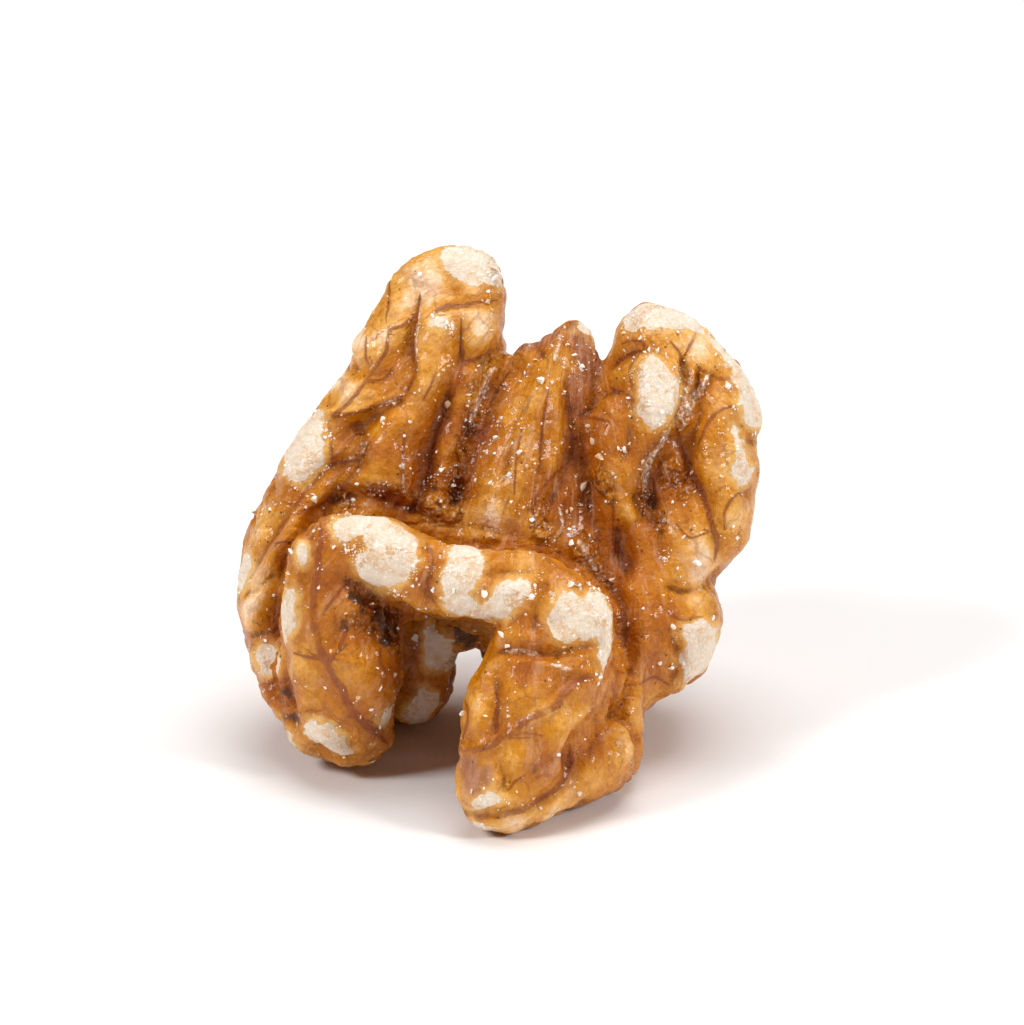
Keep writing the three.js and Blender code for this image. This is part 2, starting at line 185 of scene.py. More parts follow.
# Relief of the arch and its legs, in the same form.
ARCH_RELIEF = [
    # crown of the arch
    (0.45, 1.4, [(-8.4, 0.2), (-6.8, -0.9)]), (0.4, 1.1, [(-2.2, -1.4), (-2.3, -2.8)]),
    (0.3, 0.9, [(0.6, -1.6), (1.4, -1.8)]), (0.4, 1.2, [(0.4, -3.6)]), (0.5, 1.5, [(4.8, -4.2), (5.6, -4.6)]),
    (-0.35, 0.4, [(-0.9, -2.4), (0.6, -2.3), (1.9, -2.2)]),
    (-0.4, 0.4, [(-4.4, -0.4), (-4.1, -1.8), (-4.4, -3.2), (-3.8, -4.4)]),
    (-0.35, 0.35, [(2.9, -2.6), (2.3, -4.2), (2, -5.8)]),
    # left leg
    (0.6, 0.7, [(-12.1, -0.6), (-12.6, -2.6), (-13.2, -4.6), (-13.2, -6)]),
    (0.28, 0.3, [(-11, 0.4), (-11.1, -2), (-11.4, -4.4), (-11.1, -6.6)]),
    (-0.9, 1.3, [(-8.6, -4.6), (-7.2, -5.6), (-6.6, -6.8)]),
    (-0.6, 0.45, [(-9.6, -2.6), (-8.4, -3.4), (-7, -4.2), (-5.6, -4.6)]),
    (-0.4, 0.45, [(-10.2, -4.2), (-10, -5.8), (-10, -7)]), (0.45, 1.2, [(-8.8, -8.2), (-8.2, -9.8)]),
    (0.45, 0.8, [(-12.3, -8.4), (-11.8, -10)]),
    (-0.35, 0.35, [(-12, -10.9), (-11, -11), (-9.6, -12.4), (-8.8, -13.4)]),
    (0.35, 0.8, [(-11.4, -12.2), (-10.2, -13)]),
    # right leg
    (-0.7, 0.4, [(-0.7, -7.05), (1.1, -6.9), (2.5, -7), (4.2, -6.9), (5.6, -6.6)]),
    (0.3, 0.25, [(0, -7.3), (1.8, -7.5), (3.6, -8), (5.4, -8.3)]), (0.45, 1, [(-1.4, -9.4), (-1.6, -11)]),
    (0.5, 1.1, [(1.4, -9.6), (2.4, -9)]), (-0.35, 0.35, [(-0.2, -8.6), (-0.1, -10.4), (-0.5, -12)]),
    (0.5, 1.2, [(4.4, -10.4), (3.2, -11.8)]), (0.35, 1, [(1, -13.4)]),
    (-0.3, 0.3, [(0.1, -13.6), (0.3, -14.8), (-0.2, -15.6)]),
    (-0.45, 0.35, [(4.2, -13), (4.1, -14.2), (3.3, -15.3), (1.8, -16.3), (-0.2, -16.8), (-2, -16.7),
        (-3, -15.9)]),
    (0.28, 0.35, [(5.9, -8.5), (4.2, -9.3), (2.6, -10.6), (0.9, -11.7), (-0.8, -12.7), (-2.9, -12.9)]),
    (-1.1, 0.55, [(6.7, -7.8), (6.5, -9.4), (6.1, -10.8), (5.1, -11.9), (4.4, -12.8), (4.5, -14.2)]),
]

# Crinkled, glossy places, which get painted glints: (u, v, half width) lines.
CRINKLES = [
    [(-8.5, 5.9, 0.5), (-8.6, 4.8, 0.6)], [(-9.9, 2.4, 0.6), (-9.6, 1.8, 0.5)],
    [(-8, 2.9, 0.6), (-6.4, 2.8, 0.5)], [(-4.6, 1.6, 0.9), (-3.2, 1.6, 0.9), (-2.6, 3.6, 0.8)],
    [(-0.2, 11.2, 0.4), (-1.2, 9.4, 0.6), (-1.8, 7, 0.6), (-2.6, 5, 0.5)],
    [(10.6, 6.7, 0.25), (9.6, 5.2, 0.35), (8.9, 3.6, 0.4), (9, 2.2, 0.5), (9.8, 0.8, 0.6)],
    [(10.6, 4, 0.9), (11.2, 3, 0.8)], [(13, 10, 0.3), (12.2, 8.6, 0.3), (11.3, 6.9, 0.3)],
    [(4.8, -0.2, 0.7), (5.4, -1.4, 0.8), (6.3, -2.8, 0.6)], [(6.3, 3.6, 0.8), (6.9, 2.2, 0.4)],
    [(2.4, 2, 0.5), (2.6, 0.2, 0.8)], [(-8.4, -5, 0.9), (-7, -5.4, 1), (-6.4, -6.6, 0.7)],
]

# Thin ridges of dry, crinkled skin, which also get painted glints: (half width, points).
GLINTS = [
    (0.2, [(10.6, 6.7), (9.8, 5.4), (9.1, 4.2), (8.85, 2.6)]),
    (0.22, [(13, 10), (12.5, 9.2), (11.7, 7.8), (11.15, 6.4)]),
    (0.14, [(11.7, 10.6), (11.8, 9.6), (11.3, 7.9), (10.9, 7)]),
    (0.2, [(-0.3, 10.6), (-0.8, 9.5), (-1.4, 8.2), (-1.9, 7)]),
    (0.12, [(-0.2, 11.4), (0.5, 11.35), (1.2, 11.5)]), (0.1, [(-5.95, 5.3), (-6, 3.6), (-5.9, 2.1)]),
    (0.18, [(4.8, -0.2), (5.4, -1.2), (6, -2.4)]), (0.1, [(-8.2, 5.9), (-8.6, 5.1), (-9.6, 4.6)]),
    (0.12, [(-6.2, 8.5), (-7, 8.1), (-7.6, 7.9)]), (0.14, [(3.8, 12.8), (3.6, 11.6), (3.2, 10.6)]),
    (0.13, [(0.2, -7), (1.3, -6.95), (2.4, -7.15)]), (0.14, [(3, -7.7), (3.8, -7.9), (4.4, -8.1)]),
    (0.1, [(-4.9, 14.4), (-5.05, 13.2), (-5.2, 12), (-5, 10.4)]),
    (0.1, [(-4.7, 3.4), (-4.9, 2.4), (-5.3, 1.2)]), (0.12, [(10, 1), (10.6, 0.7), (11, 0.1)]),
    (0.1, [(6.6, 3.6), (7.2, 3.9)]), (0.1, [(3.6, 1.8), (3.9, 0.6), (3.4, -0.3)]),
]

# Tone of the coat: (amount, radius, place), from -1, deep and translucent, to 1, pale and dry. Beyond the
# coat's own tone, the dark dabs in the hollows are partly painted shade, and the pale dabs on the upper
# swellings and rims are partly painted sheen.
TONES_AND_SHADING = [
    (1, 1.9, (-4.6, 15.7)), (0.35, 2.2, (-7.6, 12.8)), (0.55, 1.1, (-1, 13.2)), (0.05, 1.6, (-3.8, 11.6)),
    (0.5, 0.9, (-8.4, 14.6)), (0.6, 0.9, (-9.1, 12.4)), (0.5, 1.5, (-9.8, 9.2)), (0.5, 0.8, (-10.2, 9.9)),
    (-0.3, 1.3, (-9.2, 6.4)), (-0.45, 1.6, (-6.6, 5.4)), (-0.6, 1.2, (-4.9, 4.4)), (-0.55, 1.3, (-3.4, 6.8)),
    (-0.1, 1.5, (-3.6, 3.2)), (-0.45, 1.3, (-7, 1.8)), (-0.35, 2, (-11.6, 1.4)), (0.55, 1.3, (-14.6, 1)),
    (-0.55, 1.1, (-12.6, -0.9)), (0.65, 1.1, (-15.6, -2.2)), (0.7, 1.2, (-15.2, -4.6)),
    (-0.45, 1.2, (-13.8, -5.2)), (-0.7, 1.3, (-13.3, -9.6)), (0.5, 0.9, (-14.2, -2.5)),
    (0.35, 0.8, (-8.2, 6.6)), (-0.6, 1, (-2.3, 9.4)), (-0.75, 1, (-1.6, 6.4)), (-0.3, 1, (-2.6, 3.4)),
    (0.25, 1.6, (2.2, 8.8)), (0.15, 1.6, (1, 5)), (0.4, 1.6, (-0.4, 1.8)), (0.55, 1.1, (-2.6, 0.9)),
    (0.65, 1.1, (-0.4, 0.6)), (0.4, 1, (1.8, 0)), (-0.1, 1.2, (3.6, 11.6)), (-0.45, 1.2, (3.6, 8)),
    (-0.45, 1.5, (3.2, 2.6)), (-0.4, 1.5, (4.6, 2)), (-0.6, 1.6, (5.8, 5)), (-0.15, 1.3, (7, 6.8)),
    (-0.45, 1.8, (6.6, 0.2)), (-0.45, 1.5, (7.6, -1.8)), (0.45, 0.8, (8, 1.2)), (-0.6, 1.6, (10.4, 3)),
    (-0.45, 1, (9.6, 5.2)), (0.95, 1.7, (12.2, 12.2)), (0.3, 1.1, (8.2, 10)), (0.1, 2, (13.2, 7.8)),
    (0.3, 1.3, (13.8, 4.4)), (0.5, 1.6, (12, -0.6)), (0.6, 1.1, (14.8, 1)), (0.45, 1.2, (12.6, -3)),
    (-0.2, 1.8, (9.2, -4.6)), (-0.4, 1.5, (8, -7.2)), (0, 1.5, (9.2, -9)), (0.3, 1.2, (7.6, -13)),
    (-0.6, 0.9, (5.6, -12.8)), (-0.7, 1, (6.9, -9.8)), (0.2, 1.2, (5.6, -15.2)), (-0.35, 1, (-4.6, -3)),
    (0.3, 0.9, (1.4, -1.8)), (-0.2, 0.9, (1.9, -5)), (0.35, 0.9, (2.8, -4.4)), (-0.5, 0.9, (-10, -3)),
    (-0.6, 1.8, (-7.6, -5.4)), (0.3, 1, (-12.4, -7.8)), (0.25, 1.3, (-11.8, -9.6)), (-0.12, 1.6, (-9, -9)),
    (-0.6, 0.9, (-6.4, -8.6)), (-0.55, 1, (-7.4, -12.2)), (-0.55, 1.2, (1.6, -7.8)), (0.35, 0.9, (-1.4, -10)),
    (0.15, 1, (1.8, -9.5)), (0.2, 1.3, (4.6, -10.4)), (0.4, 0.9, (0.7, -13.2)), (0.3, 1.5, (-1.8, -14.8)),
    (0.15, 1, (1.8, -15)), (-0.35, 1, (3.4, -13.8)), (0.6, 1.4, (0.8, -17.6)), (0.5, 1.1, (3.6, -16.9)),
]

# Veins of the seed coat: (half width, points).
VEINS = [
    (0.27, [(6, -8.3), (4.9, -8.6), (3.8, -9.55), (3, -10.4), (1.9, -10.9), (0.85, -11.6), (-0.25, -12.3),
        (-1.05, -12.8), (-2.85, -12.9)]),
    (0.1, [(-0.25, -9.15), (-0.1, -10.2), (-0.25, -11.9)]), (0.09, [(0.55, -12), (1.5, -11.85), (2.6, -12)]),
    (0.21, [(4.25, -12.7), (4.35, -13.6), (3.85, -14.7), (3, -15.55), (1.1, -16.6), (-1.6, -16.9),
        (-3.1, -15.9)]),
    (0.08, [(0.5, -15.3), (1, -14.7), (1.5, -14.4)]), (0.08, [(-2.2, -9.6), (-1.9, -10.8), (-2.3, -12.6)]),
    (0.27, [(-10.85, 0.6), (-11, -1.7), (-11.35, -3.75), (-11.25, -5.5), (-10.85, -7.2), (-9.85, -9.1),
        (-9.35, -10.25), (-8.55, -11.4), (-7, -12.9)]),
    (0.12, [(-12.6, -7.2), (-11.6, -7.45), (-10.35, -7.45), (-9.85, -7.05), (-9.45, -6), (-9.3, -4.9)]),
    (0.11, [(-10.9, -4.9), (-9.85, -3.5), (-9.1, -2.7)]), (0.1, [(-6.9, -8.6), (-7.4, -7.4), (-6.9, -6.2)]),
    (0.1, [(-9.6, -11), (-8.2, -11.4), (-7.3, -12)]), (0.12, [(-6.9, 12.8), (-6.1, 12.95), (-5.3, 13.6)]),
    (0.12, [(-4.55, 13.5), (-3.4, 14.2), (-2.3, 14.25), (-1.15, 14.5), (-0.2, 14.6)]),
    (0.12, [(-5, 14.9), (-5.2, 12.9), (-5.4, 11.5), (-5.2, 10.2), (-5.7, 8.9)]),
    (0.13, [(-6.9, 12.8), (-7.05, 11.5), (-7.5, 10.8), (-8.2, 9.7), (-9.5, 8.1), (-10.5, 7.4)]),
    (0.12, [(-10.5, 7.35), (-9.5, 7.45), (-8.3, 7.75), (-7.25, 8.15), (-6.1, 8.6)]),
    (0.08, [(-8.3, 9.6), (-7.2, 9.7), (-6.7, 10.4)]),
    (0.12, [(-8.2, 5), (-9.3, 4.6), (-10.4, 4.4), (-11.9, 2.9), (-13.4, 0.6), (-14.4, -0.8), (-15.45, -2.7)]),
    (0.09, [(-10.65, 7.15), (-10.5, 5.85), (-10.4, 4.7)]), (0.08, [(-10.3, 4.8), (-9.5, 5.5), (-8.9, 6.2)]),
    (0.08, [(-13.15, 1.4), (-12, 1.6), (-11.2, 1.9), (-10.4, 2.4)]),
    (0.07, [(-14.2, -0.6), (-13.2, -0.4), (-12.4, -0.9)]),
    (0.1, [(-2.4, 13.4), (-2.4, 11.6), (-2.3, 10.8), (-2.55, 9.6), (-3, 8.45), (-3.5, 7.3), (-4.1, 5.6),
        (-4.4, 4), (-4.9, 2.2)]),
    (0.09, [(-5.9, 6.6), (-6, 4.4), (-5.95, 2.2)]), (0.08, [(-8.3, 12.4), (-8.3, 11), (-7.9, 10.2)]),
    (0.07, [(-7, 16.4), (-6.9, 14.8), (-7.1, 13.2)]), (0.09, [(-2.3, 10.7), (-1.4, 11), (-0.5, 11.5)]),
    (0.08, [(-4.8, 8.2), (-4.2, 9.4), (-3.9, 10.2)]),
    (0.12, [(0.6, 10.2), (-0.55, 8.2), (-1.15, 6.2), (-1.6, 4.6), (-2, 3.3)]),
    (0.1, [(4, 9.6), (4.2, 7.8), (4.45, 6), (4.2, 4.6), (3.2, 3.6), (2.3, 2.4), (1.9, 0.4)]),
    (0.08, [(3, 9), (2.6, 6.6), (2.5, 4)]), (0.07, [(1.4, 6.8), (1, 4.6), (0.9, 2.6)]),
    (0.12, [(6.9, 9.2), (7.7, 8.8), (8.2, 8.3), (8.25, 7.2)]),
    (0.12, [(9.6, 11.3), (8.5, 11.4), (7.6, 10.9), (7, 10.3)]),
    (0.08, [(7.5, 11.9), (8.6, 12.1), (9.2, 11.5)]), (0.07, [(8.2, 9.2), (8, 10.2), (8.5, 11.2)]),
    (0.2, [(10.9, 6.9), (11.15, 5.7), (11.65, 4.15), (12.3, 3), (12.8, 2), (13.05, 0.7), (13.45, -0.35),
        (13.3, -1.5)]),
    (0.1, [(13.9, 0.3), (13.9, 1.4), (14.3, 2.2), (14.8, 2.6)]),
    (0.07, [(10.9, 0.7), (11.65, -0.1), (12.4, 0), (13.15, 0.3)]),
    (0.1, [(15.2, 7.4), (14.6, 8), (13.6, 7.7), (12.8, 6.8), (12.3, 5.6)]),
    (0.1, [(12.2, 10.6), (12.8, 10.1), (13.8, 9.7), (14.8, 9.9)]),
    (0.09, [(11.5, 11.2), (12, 12.2), (12.2, 13)]), (0.09, [(10.6, 12), (11.2, 11.2), (11.1, 10)]),
    (0.1, [(7, 2.4), (7.05, 0.4), (7.1, -1.8)]), (0.09, [(4.4, 7.1), (5.6, 7.3), (6.8, 7)]),
    (0.08, [(4, 2.2), (4, 0.8), (3.4, -0.4)]), (0.09, [(10.2, -4.6), (11.2, -5.2), (12.6, -5)]),
    (0.08, [(8.6, -9.2), (9.6, -8.8), (10.6, -9.4)]),
]

# Places rubbed down to the flesh: lines of (u, v, half width).
RUBBED_FACE = [
    [(-2.9, 17.3, 0.9), (-1.9, 16.9, 1.35), (-0.9, 16.7, 1.25), (0, 16.2, 0.7)],
    [(-4.1, 13.15, 0.3), (-3.6, 13.1, 0.35)],
    [(-11.6, 7.3, 0.7), (-12.1, 6, 1.15), (-12.4, 4.8, 1.25), (-12.6, 4, 0.8)],
    [(-11.4, 5.6, 0.6), (-11.3, 4.8, 0.5)], [(-14.5, -7.6, 0.75), (-14.4, -8.1, 0.7)],
    [(-15.7, -1.4, 0.3), (-16.2, -3, 0.4)], [(-14.1, -11.4, 0.25), (-13, -13, 0.3)],
    [(8.4, 13.4, 0.75), (9.6, 13.7, 0.85), (11.4, 13.5, 0.8), (12.3, 12.9, 0.5)],
    [(9.4, 10, 1), (9.8, 9, 1.3), (9.5, 7.6, 0.95)],
    [(13.6, 11.9, 0.35), (14.6, 11, 0.6), (15.4, 9.7, 0.95), (15.7, 8.4, 0.95), (15.8, 7.2, 0.6)],
    [(14.5, 6.4, 0.3), (14.9, 5, 0.4), (15, 4, 0.65), (15.1, 3.4, 0.3)],
    [(11.6, -6.1, 0.6), (12.4, -6.4, 1.1), (12.2, -7.8, 1.15), (11.8, -8.8, 0.5)],
    [(5.3, 13.1, 0.45), (5.9, 12.4, 0.25)],
]
RUBBED_ARCH = [
    [(-9.4, 0.4, 0.75), (-8.2, 0.6, 0.9), (-6.6, -0.2, 1), (-5.4, -0.7, 0.6)],
    [(-8, -1.8, 0.8), (-6.9, -2, 1.25), (-5.8, -1.4, 0.9)],
    [(-2, -0.9, 0.9), (-2.2, -2.2, 1.15), (-2.7, -3.3, 0.9), (-2.5, -4.2, 0.75)],
    [(-2, -3.9, 0.4), (-1.2, -4.6, 0.5), (-0.4, -4.4, 0.75), (0.7, -3.5, 0.9), (1.3, -3.1, 0.6)],
    [(4.2, -4, 0.7), (3.9, -5.2, 1.1), (5.4, -4.8, 1.2), (5.8, -4, 0.7)],
    [(6, -4.4, 0.6), (6.35, -6, 0.5), (6.4, -7.4, 0.45), (6.4, -8.4, 0.25)],
    [(-12, -0.8, 0.3), (-12, -1.5, 0.3)],
    [(-12.7, -3.4, 0.3), (-13, -4.6, 0.6), (-13.2, -5.8, 0.55), (-13.2, -6.5, 0.25)],
    [(-11.6, -12, 0.6), (-11.2, -12.4, 0.95), (-10.2, -13.1, 0.9), (-9.5, -13.5, 0.5)],
    [(-6.6, -10.6, 0.18), (-6.9, -11.1, 0.3), (-7.2, -11.5, 0.2)], [(-7.5, -13.4, 0.2), (-7.1, -13.3, 0.2)],
    [(-9.2, -14.6, 0.3), (-7.8, -14.6, 0.3)], [(-1.3, -16.2, 0.4), (-0.8, -15.9, 0.5), (-0.2, -15.8, 0.3)],
    [(-1.4, -17.5, 0.25), (-0.4, -17.9, 0.35)],
]
RUBBED_REAR = [[(-3.9, -6.3, 0.9), (-3.8, -7.5, 1)], [(-4.7, -10.5, 0.8), (-5.2, -11.4, 0.7)]]

# The embryo: a line of (u, v, half width).
EMBRYO = [(4.6, 13.6, 1.6), (4, 10, 2.4), (2.4, 5.4, 3.2), (1.2, 0.6, 3.6), (1, -2, 3.4)]

# Dry papery web round the embryo's tip, and a dull, scuffed spot of the right leg.
WEB = [
    [(4.6, 13.3, 0.4), (5.3, 12, 0.8), (5.5, 10.6, 0.8)],
    [(1.2, 12, 0.5), (2.6, 12.5, 0.7), (3.6, 13.2, 0.4)], [(4.6, 9.6, 0.5), (5.4, 9.6, 0.5)],
    [(4.9, 8.8, 0.6), (4.6, 7.6, 0.3)], [(-1.9, -13.9, 0.6), (-1.4, -14.9, 0.8), (-0.8, -14.2, 0.4)],
]

# Brown stains: lines of (u, v, half width). The marks under the arch's left end, near (-8, -5), and in the gap
# below the arch, near (-2.2, -6.3), are painted shade, not stains.
STAINS_AND_SHADE = [
    [(-9.2, -3.7, 0.35), (-8.4, -4, 0.45), (-8.3, -4.8, 0.35)],
    [(-7.6, -4.8, 0.5), (-7, -5.2, 0.6), (-6.9, -6.4, 0.5)], [(-9.5, -5.3, 0.4)], [(-7.7, -5.8, 0.35)],
    [(-9.4, -6.7, 0.25)], [(-14.8, -6.2, 0.3)], [(-15.4, -5.3, 0.15), (-14.9, -5.6, 0.15)],
    [(-13.8, -9.7, 0.25), (-13.2, -9.7, 0.35)], [(-13.3, -11.4, 0.35), (-12.6, -11.4, 0.4)],
    [(2, -13.9, 0.3)], [(-3.6, 1.8, 0.25), (-2.9, 2, 0.25)], [(-4.1, 2.9, 0.2)], [(3.5, -7.4, 0.2)],
    [(6.4, 2.7, 0.12)], [(4.4, -16.9, 0.3)], [(-2.9, -5.7, 0.5), (-2.2, -6.3, 0.7), (-1.3, -6.6, 0.5)],
]


def linear(hex_colour):
    """The linear RGB of an sRGB hex colour."""
    channels = [int(hex_colour[i:i + 2], 16) / 255 for i in (1, 3, 5)]
    return tuple(c / 12.92 if c <= 0.04045 else ((c + 0.055) / 1.055) ** 2.4 for c in channels)


def at_face(u, v, w):
    """The place, in metres, of a point given in the frame of the inner face, in mm."""
    return FACE_ORIGIN + (FACE_RIGHT * u + FACE_UP * v + FACE_OUT * w) * MM


def deselect_all():
    bpy.ops.object.select_all(action="DESELECT")


def pick(piece):
    deselect_all()
    piece.select_set(True)
    bpy.context.view_layer.objects.active = piece


def apply_modifier(piece, kind, **settings):
    """Adds a modifier to the piece and applies it."""
    pick(piece)
    modifier = piece.modifiers.new(kind.lower(), kind)
    for name, value in settings.items():
        setattr(modifier, name, value)
    bpy.ops.object.modifier_apply(modifier=modifier.name)


def read(data, name, size):
    values = np.zeros(len(data) * size)
    data.foreach_get(name, values)
    return values.reshape(-1, size) if size > 1 else values


def face_coordinates(vectors, origin=True):
    """(u, v, w) in mm of places in metres, or of directions when origin is False."""
    axes = np.array([FACE_RIGHT, FACE_UP, FACE_OUT])
    if origin:
        return (vectors - np.array(FACE_ORIGIN)) @ axes.T / MM
    return vectors @ axes.T


def smooth_line(points, steps=6):
    """A Catmull-Rom line through points, as an array."""
    p = np.array(points, float)
    if len(p) == 1:
        return np.repeat(p, 2, axis=0)
    p = np.vstack([2 * p[0] - p[1], p, 2 * p[-1] - p[-2]])
    line = []
    for a, b, c, d in zip(p, p[1:], p[2:], p[3:]):
        for t in np.arange(steps) / steps:
            line.append(0.5 * (2 * b + (c - a) * t + (2 * a - 5 * b + 4 * c - d) * t**2
                               + (3 * b - a - 3 * c + d) * t**3))
    return np.array(line + [p[-2]])


def from_line(uv, points, reach=6.0):
    """Distance of each place to a smooth line, its share of the way along it, and the line's width there."""
    line = smooth_line(points)
    distance = np.full(len(uv), 1e9)
    along = np.zeros(len(uv))
    width = np.zeros(len(uv))
    low, high = line[:, :2].min(axis=0) - reach, line[:, :2].max(axis=0) + reach
    near = np.flatnonzero(np.all((uv > low) & (uv < high), axis=1))
    spots = uv[near]
    for i, (a, b) in enumerate(zip(line, line[1:])):
        step = b[:2] - a[:2]
        t = np.clip(((spots - a[:2]) @ step) / max(step @ step, 1e-12), 0, 1)
        d = np.hypot(*(spots - a[:2] - t[:, None] * step).T)
        nearer = d < distance[near]
        here = near[nearer]
        distance[here] = d[nearer]
        along[here] = (i + t[nearer]) / (len(line) - 1)
        if len(a) > 2:
            width[here] = (a[2] + t * (b[2] - a[2]))[nearer]
    return distance, along, width


def side_of_line(uv, points):
    """1 on one side of a smooth line and -1 on the other."""
    line = smooth_line(points)[:, :2]
    low, high = line.min(axis=0) - 1, line.max(axis=0) + 1
    near = np.flatnonzero(np.all((uv > low) & (uv < high), axis=1))
    side = np.ones(len(uv))
    middle = (line[1:] + line[:-1]) / 2
    closest = np.argmin(((uv[near, None] - middle) ** 2).sum(axis=2), axis=1)
    a, step = line[closest], (line[1:] - line[:-1])[closest]
    off = uv[near] - a
    side[near] = np.where(step[:, 0] * off[:, 1] - step[:, 1] * off[:, 0] > 0, 1, -1)
    return side


def reach_of(uv, lines):
    """How deep inside the nearest of the lines' widths each place lies, in mm; outside is negative."""
    depth = np.full(len(uv), OUTSIDE)
    for points in lines:
        d, _, width = from_line(uv, points, reach=-OUTSIDE)
        depth = np.maximum(depth, width - d)
    return depth


def nearest(uv, lines):
    """Distance of each place to the nearest line over that line's half width, tapered to its ends, and the
    same with a sign for its two sides."""
    ratio = np.full(len(uv), FAR)
    signed = np.full(len(uv), FAR)
    for half_width, points in lines:
        d, along, _ = from_line(uv, points, reach=2.0)
        d = d / (half_width * np.clip(0.35 + 4 * np.minimum(along, 1 - along), 0, 1))
        nearer = d < ratio
        ratio[nearer] = d[nearer]
        signed[nearer] = (d * side_of_line(uv, points))[nearer]
    return ratio, signed


def bell(x):
    return np.exp(-x * x)


def noise_at(places, size, seed=0, octaves=1):
    """Smooth noise of about -1 to 1 at places in mm, with bumps of the given size in mm."""
    shift = Vector((31.7 * seed, -17.3 * seed, 7.9 * seed))
    values = []
    for place in places:
        spot = Vector(place) / size + shift
        values.append(sum(noise.noise(spot * 2**k) / 2**k for k in range(octaves)))
    return np.array(values)


def length(name, description, size):
    """A property that holds a length, given in mm."""
    return bpy.props.FloatProperty(name=name, description=description, default=size * MM, unit="LENGTH")


def colour_of(name, description, hex_colour):
    """A property that holds a colour, given as sRGB hex."""
    return bpy.props.FloatVectorProperty(
        name=name, description=description, subtype="COLOR", size=3, default=linear(hex_colour))


class WalnutShape(bpy.types.PropertyGroup):
    mesh_size: length("Mesh size", "Edge length of the fine surface", 0.23)
    relief: bpy.props.FloatProperty(
        name="Relief", description="Scale of the folds and swellings", default=1.0, subtype="FACTOR")
    gyrus_wrinkle: length("Gyrus wrinkle", "Height of the small wrinkles on the outer side", 0.5)
    vein_height: length("Vein height", "How far veins stand up", 0.05)
    crumb_size: length("Crumb size", "Width of a middling crumb", 0.078)
    crumb_count: bpy.props.IntProperty(name="Crumbs", description="Number of crumbs", default=2400)


class WalnutColours(bpy.types.PropertyGroup):
    coat: colour_of("Seed coat", "Amber seed coat", "#BC6C00")
    coat_deep: colour_of("Deep coat", "Seed coat where it is thick", "#743200")
    coat_pale: colour_of("Pale coat", "Seed coat where it is thin or dry", "#FAD8B2")
    vein: colour_of("Vein", "Veins of the seed coat", "#86390F")
    flesh: colour_of("Flesh", "Bare flesh of rubbed places", "#F1DDC6")
    crumb: colour_of("Crumbs", "Crumbs of dry flesh", "#FBF3E8")
    stain_and_shade: colour_of("Stain", "Tannin stains and specks", "#3A1608")
    floor: colour_of("Floor", "Studio floor", "#F6F4F3")


def add(tree, kind, settings=None, inputs=None):
    """Adds a node with settings and inputs, which are values, sockets, or nodes by their first output."""
    made = tree.nodes.new("ShaderNode" + kind)
    for name, value in (settings or {}).items():
        setattr(made, name, value)
    for socket, value in (inputs or {}).items():
        if isinstance(value, bpy.types.Node):
            value = value.outputs[0]
        if isinstance(value, bpy.types.NodeSocket):
            tree.links.new(value, made.inputs[socket])
        else:
            made.inputs[socket].default_value = value
    return made


def new_material(name):
    material = bpy.data.materials.new(name)
    material.use_nodes = True
    material.node_tree.nodes.clear()
    return material, material.node_tree


class WALNUT_OT_stage(bpy.types.Operator):
    """Adds the camera, the pale floor and the soft studio light"""
    bl_idname = "walnut.stage"
    bl_label = "Stage"

    def execute(self, context):
        bpy.ops.object.camera_add(location=at_face(*AIM) + FACE_OUT * CAMERA_DISTANCE)
        camera = context.active_object
        camera.name = "camera"
        camera.rotation_euler = (-FACE_OUT).to_track_quat("-Z", "Y").to_euler()
        camera.data.sensor_width = 36
        camera.data.lens = 180
        context.scene.camera = camera

        bpy.ops.mesh.primitive_plane_add(size=3)
        floor = context.active_object
        floor.name = "floor"
        material, tree = new_material("matt white paper")
        surface = add(tree, "BsdfPrincipled", inputs={
            "Base Color": (*context.scene.walnut_colours.floor, 1), "Roughness": 0.7})
        add(tree, "OutputMaterial", inputs={"Surface": surface})
        floor.data.materials.append(material)

        # softboxes: place in metres, size, power in watts
        for name, place, size, power in (
            ("overhead", (0.10, 0.20, 0.85), 0.70, 6.6),
            ("left", (-0.50, -0.28, 0.50), 0.20, 3.3),
            ("right", (0.52, -0.26, 0.36), 0.14, 2.1),
        ):
            bpy.ops.object.light_add(type="AREA", location=place)
            light = context.active_object
            light.name = name
            light.data.shape = "SQUARE"
            light.data.size = size
            light.data.energy = power
            light.rotation_euler = (Vector((0, 0, 0.015)) - Vector(place)).to_track_quat("-Z", "Y").to_euler()

        world = bpy.data.worlds.new("studio")
        context.scene.world = world
        world.use_nodes = True
        background = world.node_tree.nodes["Background"]
        background.inputs["Color"].default_value = (1, 1, 1, 1)
        background.inputs["Strength"].default_value = 0.1
        context.scene.view_settings.view_transform = "Standard"
        return {"FINISHED"}


class WALNUT_OT_kernel(bpy.types.Operator):
    """Makes the kernel half: a fine surface, its folds, gyri and veins, and its seed coat"""
    bl_idname = "walnut.kernel"
    bl_label = "Kernel half"

    def execute(self, context):
        shape = context.scene.walnut_shape
        half = fine_copy(shape)
        plate, arch = sculpt(half, shape)
        paint(half, plate, arch)
        half.data.materials.clear()
        half.data.materials.append(seed_coat(context.scene.walnut_colours))
        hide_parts("kernel")
        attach(half, "root")
        return {"FINISHED"}


